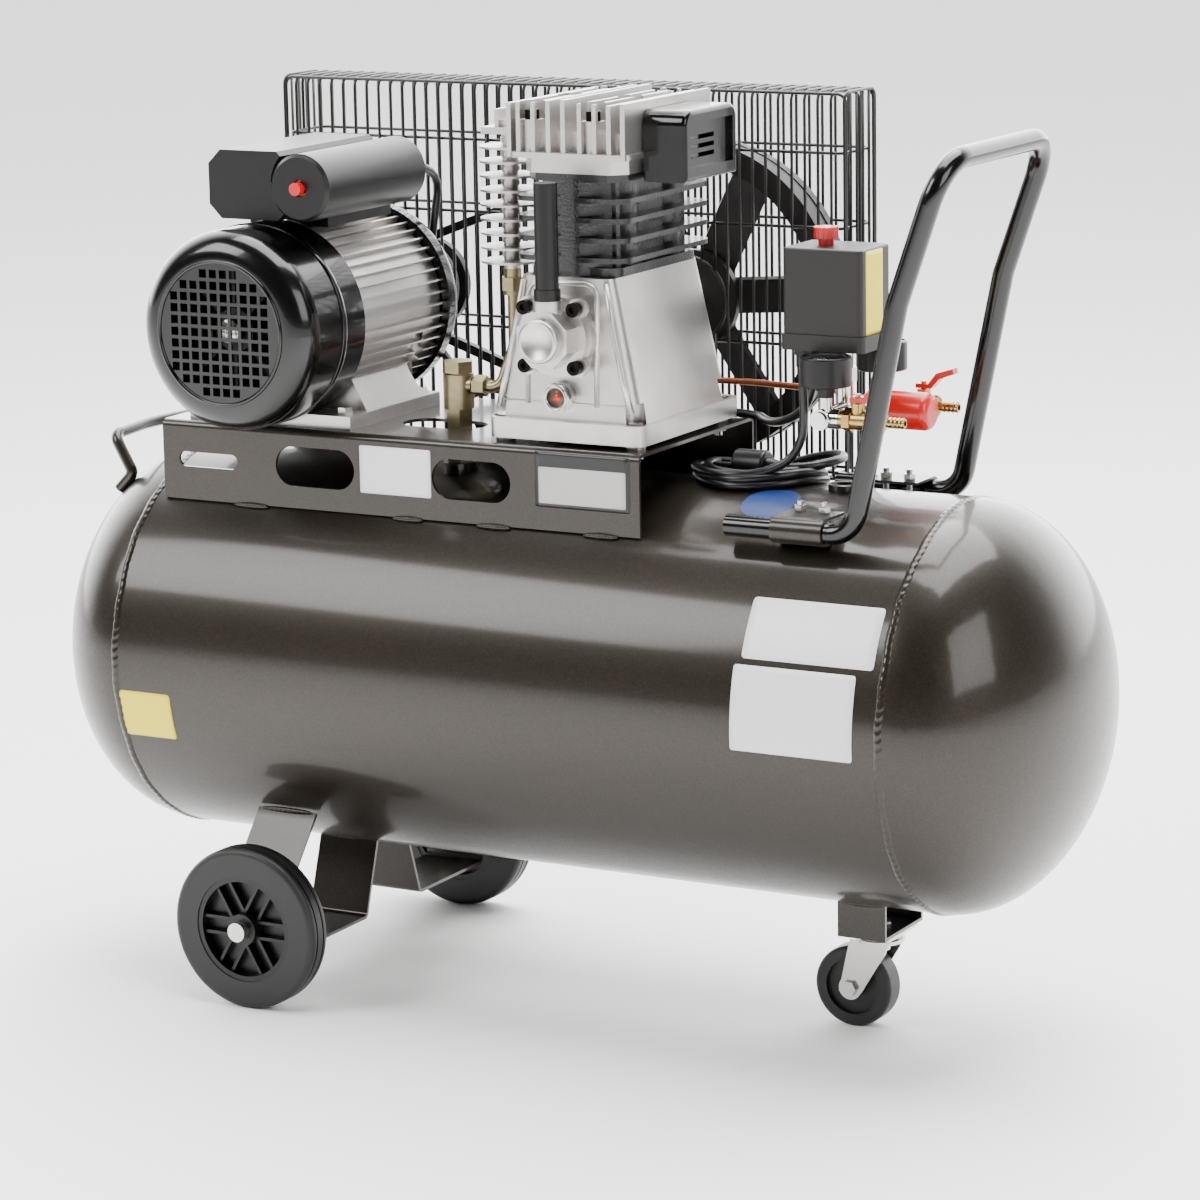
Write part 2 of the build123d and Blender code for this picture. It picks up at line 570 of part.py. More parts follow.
def cover_bolt_places():
    return [(PUMP_X + dx, CRANK_Z + dz) for dx in (-25, 25) for dz in (-25, 27)]


def bearing_cover():
    """Front cover: round flange with four lugs, an eight-sided neck and a round cap."""
    flange = rod_y(PUMP_X, -105, -98, CRANK_Z, 34)
    for x, z in cover_bolt_places():
        flange += rod_y(x, -105, -98, z, 9)
    neck = Pos(PUMP_X, -105, CRANK_Z) * Rot(90, 0, 0) * extrude(RegularPolygon(27, 8, rotation=22.5), 19)
    cap = rod_y(PUMP_X, -130, -123, CRANK_Z, 19)
    cover = flange + neck + cap + rod_z(PUMP_X, -112, CRANK_Z + 18, 663, 13)
    for x, z in cover_bolt_places():
        cover -= rod_y(x, -106, -98, z, 3.6)
        cover -= rod_y(x, -140, -105, z, 7)
    cover -= rod_z(PUMP_X, -112, 654, 663, 8)
    return cover - rod_y(PUMP_X, -110, -98, CRANK_Z, 22)


def sight_glass():
    """Oil level window in its hexagonal screwed ring."""
    z = 574
    ring = rod_y(PUMP_X, -96, -88.5, z, 13.5) + hex_y(PUMP_X, -101, -96, z, 24)
    ring += rod_y(PUMP_X, -88.5, -80, z, 9.8)
    return ring - rod_y(PUMP_X, -101, -98, z, 9)


def breather_tube():
    """Ribbed plastic tube that leads crankcase vapour up beside the block."""
    tube = rod_z(PUMP_X, -112, 654.3, 668, 7.8) + rod_z(PUMP_X, -112, 663.1, 767, 10.5)
    tube += rod_z(PUMP_X, -112, 663.1, 673, 11.8)
    return tube - rod_z(PUMP_X, -112, 690, 762, 8)


def air_filter():
    """Moulded intake filter on the head's side: crowned box with a louvred recess."""
    x0, x1, y0, y1, z0, z1 = 101, 143, -46, 54, 763, 826
    shell = block(x0, x1, y0, y1, z0, z1)
    shell = fillet(shell.edges().filter_by(Axis.X).group_by(Axis.Z)[-1], 13)
    shell = fillet(shell.edges().group_by(Axis.X)[-1], 4)
    shell -= block(x1 - 4, x1, y0 + 9, y1 - 9, z0 + 12, z1 - 11)
    for z in (783, 791, 799):
        shell -= block(x1 - 12, x1, y0 + 16, 16, z, z + 4)
    return shell


def crankshaft():
    """Main shaft with four counterweight webs, carrying the flywheel at the rear."""
    shaft = rod_y(PUMP_X, -97, 204, CRANK_Z, MAIN_R)
    for middle in BORE_Y:
        for y in (middle - 18, middle + 12):
            web = rod_y(PUMP_X, y, y + 6, CRANK_Z, 33)
            shaft += web - block(PUMP_X - 40, PUMP_X + 40, y - 1, y + 7, CRANK_Z + 12, CRANK_Z + 40)
    return shaft


def piston(y, drop):
    """Piston with ring grooves, its pin, and a rod whose open end straddles the shaft."""
    crown_z = BLOCK_TOP - 1 - drop
    body = rod_z(PUMP_X, y, crown_z - 44, crown_z, BORE_R - RUN)
    for z in (6, 12, 18):
        body -= rod_z(PUMP_X, y, crown_z - z - 2, crown_z - z, BORE_R) - rod_z(
            PUMP_X, y, crown_z - z - 2, crown_z - z, BORE_R - 1)
    body -= rod_z(PUMP_X, y, crown_z - 44, crown_z - 22, BORE_R - 4)
    pin_z = crown_z - 32
    pin = rod_y(PUMP_X, y - 22, y + 22, pin_z, 6)
    body -= rod_y(PUMP_X, y - 22, y + 22, pin_z, 6)
    rod = rod_y(PUMP_X, y - 8, y + 8, pin_z, 10)
    rod += block(PUMP_X - 7, PUMP_X + 7, y - 5, y + 5, pin_z - 40, pin_z)
    fork = block(PUMP_X - 19, PUMP_X + 19, y - 7, y + 7, pin_z - 92, pin_z - 30)
    fork -= block(PUMP_X - 14, PUMP_X + 14, y - 7, y + 7, pin_z - 92, pin_z - 54)
    rod += fork - rod_y(PUMP_X, y - 7, y + 7, pin_z - 54, 14)
    rod -= rod_y(PUMP_X, y - 8, y + 8, pin_z, 6)
    return Compound(children=[body, pin, rod])


# ---- air line --------------------------------------------------------------
def discharge_tube():
    """Finned cooling tube from under the head's outlet ledge down the block's left side."""
    x, y = COLUMN_X, COLUMN_Y
    tube = rod_z(x, y, 676, 800, 7.5)
    for row in range(9):
        z = 682 + 13.0 * row
        tube += rod_z(x, y, z, z + 2, 28)
        tube += rod_z(x, y, z + 5, z + 9, 8.6)
    return tube - rod_z(x, y, 676, 800, 5)


def delivery_pipe():
    """Brass nut and bent pipe from the cooling tube to the side of the check valve."""
    x, y = COLUMN_X, COLUMN_Y
    pipe_run = pipe([(x, y, 660), (x, y, 606), (-58, VALVE_Y, 568), (-85.8, VALVE_Y, 568)], [14, 11], 5)
    nut = rod_z(x, y, 652, 656, 9) + hex_z(x, y, 656, 668, 19) + rod_z(x, y, 668, 675.9, 8)
    side_nut = hex_x(-84, -72, VALVE_Y, 568, 17)
    return pipe_run + nut + side_nut


def check_valve():
    """Brass non-return valve screwed into the tank, with a side inlet and a small port."""
    valve = rod_z(VALVE_X, VALVE_Y, 478, 496.1, 8.9) + rod_z(VALVE_X, VALVE_Y, 496.1, 590, 11)
    valve += hex_z(VALVE_X, VALVE_Y, 496.1, 546, 23) + rod_z(VALVE_X, VALVE_Y, 546, 578, 14)
    valve += hex_z(VALVE_X, VALVE_Y, 579.5, 590, 25) + rod_x(VALVE_X, -85.9, VALVE_Y, 568, 8)
    return valve + rod_y(VALVE_X, VALVE_Y, VALVE_Y + 20, 554, 5)


def unloader_tube():
    """Thin copper tube from the check valve round behind the pump to the switch."""
    route = [(VALVE_X, VALVE_Y + 20, 554), (VALVE_X, 40, 554), (VALVE_X + 3, 108, 558), (-40, 118, 560),
             (120, 119, 561), (214, 100, 562), (256, 60, 566), (258, 22, 574), (258, 22, SWITCH_Z0 - 0.1)]
    return pipe(route, [30, 30, 40, 60, 30, 20, 12], 3)


def manifold():
    """Chromed tee-piece: riser, hexagon, cross bar, nipple to the switch and outlet arms."""
    x = RISER_X
    body = rod_z(x, 0, 482, 497.1, 7.9) + rod_z(x, 0, 497.1, 520, 10.5)
    body += hex_z(x, 0, 520, 535, 26) + rod_z(x, 0, 535, BAR_Z, 9)
    body += rod_y(x, -52, 66, BAR_Z, 9) + rod_y(x, -54.5, -52, BAR_Z, 7)
    body += rod_z(x, 0, BAR_Z, SWITCH_Z0, 8) + hex_z(x, 0, 590, 602, 21)
    body += rod_x(x, 296, 25, BAR_Z, 12)
    for (gx, gy, gz) in GAUGES:
        body += rod_z(gx, gy, BAR_Z, gz - 10, 6)
    body += rod_x(x, 290, 60, BAR_Z, 8)
    for y, pivot, tip in TAPS:
        body += rod_x(x, pivot - 16, y, BAR_Z, 9)
    return body


# ---- switch, gauges and taps ----------------------------------------------
def pressure_switch():
    """Pressure switch under its moulded cover, with the knob's socket on top."""
    cover = block(SWITCH_X0, SWITCH_X1, -SWITCH_Y, SWITCH_Y, SWITCH_Z0 + 14, SWITCH_Z1)
    cover = fillet(cover.edges().filter_by(Axis.Z), 5)
    cover = fillet(cover.edges().group_by(Axis.Z)[-1], 2.5)
    base = block(SWITCH_X0 - 2, SWITCH_X1 + 2, -SWITCH_Y - 1.5, SWITCH_Y + 1.5, SWITCH_Z0, SWITCH_Z0 + 14)
    base = fillet(base.edges().filter_by(Axis.Z), 6)
    return cover + base - rod_z(KNOB_X, 0, SWITCH_Z1 - 14, SWITCH_Z1, 7.1)


def switch_knob():
    """Scalloped on-off knob on a stem that slides in the cover."""
    stem = rod_z(KNOB_X, 0, SWITCH_Z1 - 6, SWITCH_Z1 + 6, 7)
    cap = rod_z(KNOB_X, 0, SWITCH_Z1 + 6, SWITCH_Z1 + 16, 11)
    for turn in range(10):
        cap -= Pos(KNOB_X, 0, 0) * Rot(0, 0, 36 * turn) * rod_z(12.3, 0, SWITCH_Z1, SWITCH_Z1 + 20, 2)
    return stem + cap


def gauge_bodies():
    """Two pressure gauges facing up, each a drum on a brass stem with a sunk dial."""
    group = []
    for x, y, z in GAUGES:
        drum = rod_z(x, y, z, z + GAUGE_H, GAUGE_R)
        drum = fillet(drum.edges().filter_by(GeomType.CIRCLE), 2)
        drum -= rod_z(x, y, z + GAUGE_H - 5, z + GAUGE_H, GAUGE_R - 2.5)
        drum += rod_z(x, y, z + GAUGE_H - 5, z + GAUGE_H - 2, 1.5)
        group.append(drum + hex_z(x, y, z - 10, z, 14))
    return Compound(children=group)


def needle(gauge):
    """Pointer of one gauge, pierced for its arbor."""
    x, y, z = gauge
    pointer = block(x - 6, x + 17, y - 0.8, y + 0.8, z + GAUGE_H - 4, z + GAUGE_H - 3.2)
    pointer += rod_z(x, y, z + GAUGE_H - 4, z + GAUGE_H - 3.2, 3)
    return pointer - rod_z(x, y, z + 20, z + 30, 1.55)


def outlet_taps():
    """Two brass ball valves, each ending in a plain hose tail."""
    group = []
    for y, pivot, tip in TAPS:
        tap = rod_x(pivot - 16, tip - 20, y, BAR_Z, 8.5) + hex_x(pivot - 12, pivot - 5, y, BAR_Z, 19)
        tap += hex_x(tip - 27, tip - 20, y, BAR_Z, 17) + rod_x(tip - 20, tip, y, BAR_Z, 4)
        tap += rod_z(pivot, y, BAR_Z, 577, 6) + rod_z(pivot, y, 577, 584, 2.5)
        group.append(tap - rod_x(pivot + 8, tip, y, BAR_Z, 2.5))
    return Compound(children=group)


def tap_lever(tap):
    """Pressed lever of one valve, raised towards its tip."""
    y, pivot, _ = tap
    outline = Polyline((pivot - 6, 578), (pivot + 9, 578), (pivot + 17, 587), (pivot + 31, 592),
                       (pivot + 30, 597), (pivot + 14, 592), (pivot + 6, 582), (pivot - 6, 582),
                       close=True)
    lever = Pos(0, y + 5, 0) * extrude(Plane.XZ * make_face(outline), 10)
    return lever - rod_z(pivot, y, 570, 600, 2.55)


def regulator_knob():
    """Red hand wheel of the pressure regulator, a long cap with a rounded end."""
    knob = rod_x(296.3, 348, 25, BAR_Z, 17)
    return fillet(knob.edges().filter_by(GeomType.CIRCLE).sort_by(Axis.X)[-1], 7)


# ---- belt guard ------------------------------------------------------------
def grille(width, height, rows):
    """A flat panel of upright wires at the guard's pitch and level wires at given heights."""
    count = round((width - WIRE) / WIRE_PITCH)
    pitch = (width - WIRE) / count
    panel = Pos(width / 2, height / 2) * Rectangle(width, height)
    levels = [0] + rows + [height - WIRE]
    for low, high in zip(levels, levels[1:]):
        hole_h = high - low - WIRE
        spots = [Pos(WIRE / 2 + pitch * (i + 0.5), low + WIRE + hole_h / 2) for i in range(count)]
        panel -= [spot * Rectangle(pitch - WIRE, hole_h) for spot in spots]
    return panel


def guard_front():
    """Panel on the machine's side of the belt, cut away round both shafts."""
    width, height = GUARD_X1 - GUARD_X0, GUARD_Z1 - GUARD_Z0
    panel = grille(width, height, GUARD_ROWS)
    for x, z, r in ((MOTOR_X, MOTOR_Z, 30), (PUMP_X, CRANK_Z, 40)):
        panel += Pos(x - GUARD_X0, z - GUARD_Z0) * Circle(r + WIRE)
        panel -= Pos(x - GUARD_X0, z - GUARD_Z0) * Circle(r)
    return Pos(GUARD_X0, GUARD_Y0 + WIRE, GUARD_Z0) * Rot(90, 0, 0) * extrude(panel, WIRE)


def guard_back():
    """Basket over the belt: rear panel, top, bottom and two ends."""
    width, height = GUARD_X1 - GUARD_X0, GUARD_Z1 - GUARD_Z0
    depth = GUARD_Y1 - GUARD_Y0 - 2 * WIRE
    rear = extrude(grille(width, height, GUARD_ROWS), WIRE)
    rear = Pos(GUARD_X0, GUARD_Y1, GUARD_Z0) * Rot(90, 0, 0) * rear
    lid = extrude(grille(width, depth, [depth / 2]), WIRE)
    top = Pos(GUARD_X0, GUARD_Y0 + WIRE, GUARD_Z1 - WIRE) * lid
    bottom = Pos(GUARD_X0, GUARD_Y0 + WIRE, GUARD_Z0) * lid
    end = extrude(Plane.YZ * grille(depth, height - 2 * WIRE, [row - WIRE for row in GUARD_ROWS]), WIRE)
    left = Pos(GUARD_X0, GUARD_Y0 + WIRE, GUARD_Z0 + WIRE) * end
    right = Pos(GUARD_X1 - WIRE, GUARD_Y0 + WIRE, GUARD_Z0 + WIRE) * end
    return Compound(children=[rear, top, bottom, left, right])


# ---- leads -----------------------------------------------------------------
def cable_glands():
    """Strain reliefs: two under the pressure switch and one behind the terminal box."""
    group = []
    for x, y in GLANDS:
        gland = hex_z(x, y, SWITCH_Z0 - 6, SWITCH_Z0, 15) + rod_z(x, y, SWITCH_Z0 - 17, SWITCH_Z0 - 6, 6)
        group.append(gland - rod_z(x, y, SWITCH_Z0 - 17, SWITCH_Z0 - 8, CORD_D / 2))
    gland = hex_y(-207, 43, 49, 754, 15) + rod_y(-207, 49, 60, 754, 6)
    group.append(gland - rod_y(-207, 51, 60, 754, CORD_D / 2))
    return Compound(children=group)


def power_cord():
    """The stretch of mains cord from its gland down to the top of the coil."""
    x, y = GLANDS[0]
    route = [(x, y, SWITCH_Z0 - 8), (x, y, 578), (237, -15, 549), (226, -14, 526), (203, -20, 511)]
    cord = pipe(route, soft_radii(route, "power_cord"), CORD_D / 2)
    report_tube("power_cord", route, cord)
    return cord


def cord_coil():
    """Outer shape of the coiled cord as it lies on the curved top of the tank."""
    ring = rod_z(COIL_X, COIL_Y, 440, 560, COIL_OUT) - rod_z(COIL_X, COIL_Y, 440, 560, COIL_IN)
    layer = rod_x(50, 300, 0, TANK_Z, TANK_R + COIL_H) - rod_x(50, 300, 0, TANK_Z, TANK_R + 0.3)
    return ring & layer


def mains_plug():
    """Plug lying inside the coil, pins towards the pump, with its tapered cord tail."""
    z = TANK_Z + TANK_R + 14.4
    tail = COIL_X + sqrt(COIL_IN**2 - (COIL_Y - PLUG_Y) ** 2)
    body = rod_x(tail - 47, tail - 15, PLUG_Y, z, 14)
    body = fillet(body.edges().filter_by(GeomType.CIRCLE), 3)
    body += Pos(tail - 7.5, PLUG_Y, z) * Rot(0, 90, 0) * Cone(8, 4.6, 15.2)
    for dy in (-8, 8):
        body += rod_x(tail - 65, tail - 46, PLUG_Y + dy, z, 2.4)
    return body


def motor_lead():
    """Lead from the switch along the plate behind the pump and up to the terminal box."""
    x, y = GLANDS[1]
    route = [(x, y, SWITCH_Z0 - 8), (x, y, 583), (227, 14, 556), (196, 28, 542), (164, 64, 536),
             (138, 101, 534.5), (90, 105, 534.5), (34, 104.5, 534.5), (-22, 105, 534.5), (-80, 104, 534.5),
             (-140, 108, 537), (-192, 118, 549), (-224, 122, 584), (-226, 122, 640), (-219, 121, 684),
             (-207, 121, 754), (-207, 51, 754)]
    cord = pipe(route, soft_radii(route, "motor_lead"), CORD_D / 2)
    report_tube("motor_lead", route, cord)
    return cord


def report_tube(name, route, cord):
    """Prints the cord's length, and its volume against section times length."""
    line = FilletPolyline(*route, radius=soft_radii(route, name))
    section = pi * (CORD_D / 2) ** 2
    print(name, "length", round(line.length, 1), "volume ratio", round(cord.volume / section / line.length, 4))


# ---- all nodes -------------------------------------------------------------
os.makedirs("parts", exist_ok=True)
bracket, clamp, wheel_tyre, wheel_hub = wheel_bracket(), handle_clamp(), tyre(), hub()
save("tank_barrel", tank_barrel())
save("tank_heads", Compound(children=[tank_head(-1), tank_head(1)]))
save("top_plate", top_plate())
save("end_handle", end_handle())
save("wheel_brackets", Compound(children=[bracket, across(bracket), caster_bracket()]))
save("tyre_front", wheel_tyre)
save("tyre_rear", across(wheel_tyre))
save("hub_front", wheel_hub)
save("hub_rear", across(wheel_hub))
save("caster_plate", caster_plate())
save("caster_fork", caster_fork())
save("caster_wheel", caster_wheel())
save("drain_screw", drain_screw())
save("push_handle", push_handle())
save("handle_clamps", Compound(children=[clamp, across(clamp)]))
save("frame_bolts", frame_bolts())
save("motor_frame", motor_frame())
save("motor_shields", motor_shields())
save("fan_cover", fan_cover())
save("stator", stator())
save("rotor", rotor())
save("shaft_bearings", shaft_bearings())
save("capacitor_box", capacitor_box())
save("reset_button", reset_button())
save("motor_pulley", motor_pulley())
save("flywheel", flywheel())
save("drive_belt", drive_belt())
save("crankcase", crankcase())
save("cylinder_block", cylinder_block())
save("valve_plate", valve_plate())
save("cylinder_head", cylinder_head())
save("pump_bolts", pump_bolts())
save("bearing_cover", bearing_cover())
save("sight_glass", sight_glass())
save("breather_tube", breather_tube())
save("air_filter", air_filter())
save("crankshaft", crankshaft())
save("piston_front", piston(BORE_Y[0], 0))
save("piston_rear", piston(BORE_Y[1], STROKE))
save("discharge_tube", discharge_tube())
save("delivery_pipe", delivery_pipe())
save("check_valve", check_valve())
save("unloader_tube", unloader_tube())
save("manifold", manifold())
save("pressure_switch", pressure_switch())
save("switch_knob", switch_knob())
save("gauge_bodies", gauge_bodies())
save("needle_tank", needle(GAUGES[0]))
save("needle_outlet", needle(GAUGES[1]))
save("outlet_taps", outlet_taps())
save("tap_lever_front", tap_lever(TAPS[0]))
save("tap_lever_rear", tap_lever(TAPS[1]))
save("regulator_knob", regulator_knob())
save("guard_front", guard_front())
save("guard_back", guard_back())
save("cable_glands", cable_glands())
save("power_cord", power_cord())
save("cord_coil", cord_coil())
save("mains_plug", mains_plug())
save("motor_lead", motor_lead())
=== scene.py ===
import math

import bmesh
import bpy
import numpy as np
from mathutils import Matrix, Vector


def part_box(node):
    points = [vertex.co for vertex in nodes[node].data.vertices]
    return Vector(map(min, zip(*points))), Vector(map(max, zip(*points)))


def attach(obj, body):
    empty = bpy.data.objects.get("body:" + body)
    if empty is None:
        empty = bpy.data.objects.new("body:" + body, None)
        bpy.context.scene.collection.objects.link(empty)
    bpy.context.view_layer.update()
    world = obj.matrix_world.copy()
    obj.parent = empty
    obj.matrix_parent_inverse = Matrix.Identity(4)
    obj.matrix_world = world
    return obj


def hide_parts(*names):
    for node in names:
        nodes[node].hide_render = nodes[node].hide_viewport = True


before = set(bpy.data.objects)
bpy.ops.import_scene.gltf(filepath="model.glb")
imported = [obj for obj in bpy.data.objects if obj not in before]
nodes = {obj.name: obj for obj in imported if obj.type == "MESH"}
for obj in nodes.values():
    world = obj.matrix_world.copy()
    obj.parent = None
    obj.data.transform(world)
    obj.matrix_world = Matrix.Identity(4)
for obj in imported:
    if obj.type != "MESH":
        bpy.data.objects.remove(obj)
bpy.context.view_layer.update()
MM = 0.001


# ---- Camera ----------------------------------------------------------------
# A long lens, a little above the tank and off its motor end, as the machine is usually shown.
YAW, PITCH, ROLL = 0.5058, 0.2085, -0.0181
EYE = Vector((1.9034, -3.3941, 1.1908))
ahead = Vector((-math.sin(YAW) * math.cos(PITCH), math.cos(YAW) * math.cos(PITCH), -math.sin(PITCH)))
level = Vector((math.cos(YAW), math.sin(YAW), 0))
upward = level.cross(ahead)
right = math.cos(ROLL) * level + math.sin(ROLL) * upward
top = -math.sin(ROLL) * level + math.cos(ROLL) * upward
lens = bpy.data.cameras.new("studio_camera")
lens.sensor_width = 36
lens.lens = 129.38
lens.clip_end = 50
camera = bpy.data.objects.new("studio_camera", lens)
turn = Matrix((right, top, -ahead)).transposed().to_4x4()
camera.matrix_world = Matrix.Translation(EYE) @ turn
bpy.context.collection.objects.link(camera)
bpy.context.scene.camera = camera


# ---- Mains cord ------------------------------------------------------------
# Round three-core PVC lead, 8 mm thick: out of its gland under the switch, down to a loose coil
# on top of the tank, with its plug lying in the middle.  The motor lead is the same stock.
def linear(hex_colour):
    """An sRGB hex colour as linear RGBA: each channel undone by the sRGB curve."""
    channels = [int(hex_colour[i:i + 2], 16) / 255 for i in (0, 2, 4)]
    return [c / 12.92 if c <= 0.04045 else ((c + 0.055) / 1.055) ** 2.4 for c in channels] + [1.0]


def add(tree, kind, inputs=(), **settings):
    """Adds one node with its settings; inputs maps socket names to values or to sockets."""
    node = tree.nodes.new(kind)
    for key, value in settings.items():
        setattr(node, key, value)
    for key, value in dict(inputs).items():
        if isinstance(value, bpy.types.NodeSocket):
            tree.links.new(value, node.inputs[key])
        else:
            node.inputs[key].default_value = value
    return node


def new_finish(name, **sockets):
    """A Principled material; sockets are its plain values, named with underscores."""
    material = bpy.data.materials.new(name)
    material.use_nodes = True
    tree = material.node_tree
    shader = tree.nodes["Principled BSDF"]
    for key, value in sockets.items():
        shader.inputs[key.replace("_", " ")].default_value = value
    return material, tree, shader


def place(tree, scale=(1, 1, 1)):
    """Object coordinates, stretched by a Mapping node."""
    where = add(tree, "ShaderNodeTexCoord")
    return add(tree, "ShaderNodeMapping", {"Vector": where.outputs["Object"], "Scale": scale}).outputs[0]


def bump(tree, shader, height, strength, distance):
    """Bends the shader's normal by a height map of a real depth in metres."""
    node = add(tree, "ShaderNodeBump", {"Height": height, "Strength": strength, "Distance": distance})
    tree.links.new(node.outputs[0], shader.inputs["Normal"])


def coat(material, *names):
    """Gives CAD nodes a finish through their material slots."""
    for name in names:
        for slot in nodes[name].material_slots:
            slot.material = material


# extruded PVC sheath: even black and satin, faintly wavy every 7 mm from the cores inside
cord_sheath, tree, shader = new_finish("pvc_sheath", Base_Color=linear("100F0F"), Roughness=0.32, IOR=1.52)
waves = add(tree, "ShaderNodeTexNoise", {"Vector": place(tree), "Scale": 140, "Detail": 2})
bump(tree, shader, waves.outputs["Fac"], 0.25, 0.0006)

# moulded ABS: near black and satin; its spark texture of 0.4 mm is drawn at 1.4 mm to show
black_abs, tree, shader = new_finish(
    "moulded_black_abs", Base_Color=linear("060505"), Roughness=0.36, IOR=1.42)
spark = add(tree, "ShaderNodeTexNoise", {"Vector": place(tree), "Scale": 700, "Detail": 2})
bump(tree, shader, spark.outputs["Fac"], 0.12, 0.0003)
coat(black_abs, "mains_plug", "cable_glands")

CORD_D = 8 * MM
TANK_AXIS, TANK_R = 306.3 * MM, 185 * MM
COIL = (0.175, 0.027)
COIL_START = math.radians(-60)
GLAND = (0.240, -0.014, 0.611)


def tank_top(x_y):
    """Height of the barrel's top under points (x, y): its axis plus the circle's height at y."""
    return TANK_AXIS + np.sqrt(TANK_R**2 - x_y[..., 1] ** 2)


def cord_curve(name, points, body):
    """A round cord: a NURBS curve of order 3 through its two end points, with a bevel."""
    curve = bpy.data.curves.new(name, "CURVE")
    curve.dimensions = "3D"
    curve.resolution_u = 6
    curve.bevel_depth = CORD_D / 2
    curve.bevel_resolution = 4
    curve.use_fill_caps = True
    spline = curve.splines.new("NURBS")
    spline.points.add(len(points) - 1)
    spline.points.foreach_set("co", np.column_stack([points, np.ones(len(points))]).ravel())
    spline.order_u = 3
    spline.use_endpoint_u = True
    obj = bpy.data.objects.new(name, curve)
    bpy.context.collection.objects.link(obj)
    curve.materials.append(cord_sheath)
    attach(obj, body)
    return obj


# the coil, clockwise from above: how far it winds in or out, and climbs over itself, as its turns go by
TURNS, STEPS_PER_TURN = 4.62, 14
turns_done = np.array([0.0, 0.35, 0.8, 1.3, 1.9, 2.5, 3.1, 3.7, 4.3, TURNS])
turn_radius = np.array([56, 60, 62, 57, 61, 51, 44, 53, 47, 54]) * MM
turn_height = np.array([15, 10, 4.6, 4.6, 12.3, 4.6, 4.6, 12.5, 12.5, 20.0]) * MM
steps = np.arange(0, TURNS, 1 / STEPS_PER_TURN)
coil_angle = COIL_START - 2 * math.pi * steps
reach = np.interp(steps, turns_done, turn_radius)
ring = np.column_stack([COIL[0] + reach * np.cos(coil_angle), COIL[1] + reach * np.sin(coil_angle)])
coil = np.column_stack([ring, tank_top(ring) + np.interp(steps, turns_done, turn_height)])
lead_in = np.array([GLAND, (0.240, -0.014, 0.583), (0.2408, -0.0135, 0.559), (0.2385, -0.0125, 0.537),
                    (0.2275, -0.0145, 0.5165)])
lead_out = np.array([(0.200, 0.0925, 0.5015), (0.227, 0.085, 0.507), (0.243, 0.0655, 0.508),
                     (0.2455, 0.043, 0.5085), (0.2375, 0.0235, 0.507), (0.2205, 0.011, 0.5055),
                     (0.2085, 0.009, 0.5057)])
mains_cord = cord_curve("mains_cord", np.vstack([lead_in, coil, lead_out]), "tank")
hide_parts("power_cord", "cord_coil")

motor_route = np.array([
    (240, 10, 611), (240, 10, 583), (227, 14, 556), (196, 28, 542), (164, 64, 536), (138, 101, 534.5),
    (90, 105, 534.5), (34, 104.5, 534.5), (-22, 105, 534.5), (-80, 104, 534.5), (-140, 108, 537),
    (-192, 118, 549), (-224, 122, 584), (-226, 122, 640), (-219, 121, 684), (-207, 121, 754),
    (-207, 51, 754)]) * MM
motor_lead = cord_curve("motor_lead_sheath", motor_route, "tank")
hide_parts("motor_lead")


# ---- Studio ----------------------------------------------------------------
# Plain pale floor, three soft boxes, and a dome that is bright behind the machine and dim in front
# of it, so that dark paint keeps its depth.
def area_light(name, place_at, aim, size, power):
    """A square soft box at place_at, turned to face aim."""
    light = bpy.data.lights.new(name, "AREA")
    light.size = size
    light.energy = power
    obj = bpy.data.objects.new(name, light)
    facing = (Vector(aim) - Vector(place_at)).to_track_quat("-Z", "Y")
    obj.matrix_world = Matrix.Translation(place_at) @ facing.to_matrix().to_4x4()
    bpy.context.collection.objects.link(obj)


area_light("key_box", (-2.6, -3.0, 3.4), (0, 0, 0.4), 2.2, 185)
area_light("fill_box", (3.6, -1.2, 2.2), (0.1, 0, 0.4), 2.2, 80)
area_light("top_box", (0.2, 0.8, 4.2), (0, 0, 0.2), 3.6, 470)
world = bpy.data.worlds.new("studio_world")
world.use_nodes = True
sky = world.node_tree
towards = add(sky, "ShaderNodeTexCoord").outputs["Generated"]
behind = add(sky, "ShaderNodeVectorMath", {0: towards, 1: (ahead.x, ahead.y, 0.0)}, operation="DOT_PRODUCT")
glow = add(sky, "ShaderNodeMapRange", {"Value": behind.outputs["Value"], "From Min": 0.15, "From Max": 0.85,
                                       "To Min": 0.09, "To Max": 9.0}, interpolation_type="SMOOTHSTEP")
sky.links.new(glow.outputs[0], sky.nodes["Background"].inputs["Strength"])
sky.nodes["Background"].inputs["Color"].default_value = (1, 1, 1, 1)
bpy.context.scene.world = world
# seamless paper: off-white and matt
floor_paper, tree, shader = new_finish("pale_floor", Base_Color=linear("FCFBFA"), Roughness=0.9,
                                       Specular_IOR_Level=0.1)
floor_mesh = bpy.data.meshes.new("floor")
floor_mesh.from_pydata([(-30, -30, 0), (30, -30, 0), (30, 30, 0), (-30, 30, 0)], [], [(0, 1, 2, 3)])
floor_mesh.materials.append(floor_paper)
floor = bpy.data.objects.new("floor", floor_mesh)
bpy.context.collection.objects.link(floor)


# ---- Tank, plate, brackets -------------------------------------------------
# Rolled and dished sheet steel with the mounting plate, end handle and wheel strips welded on, all
# sprayed with a dark bronze metallic enamel and cleared.

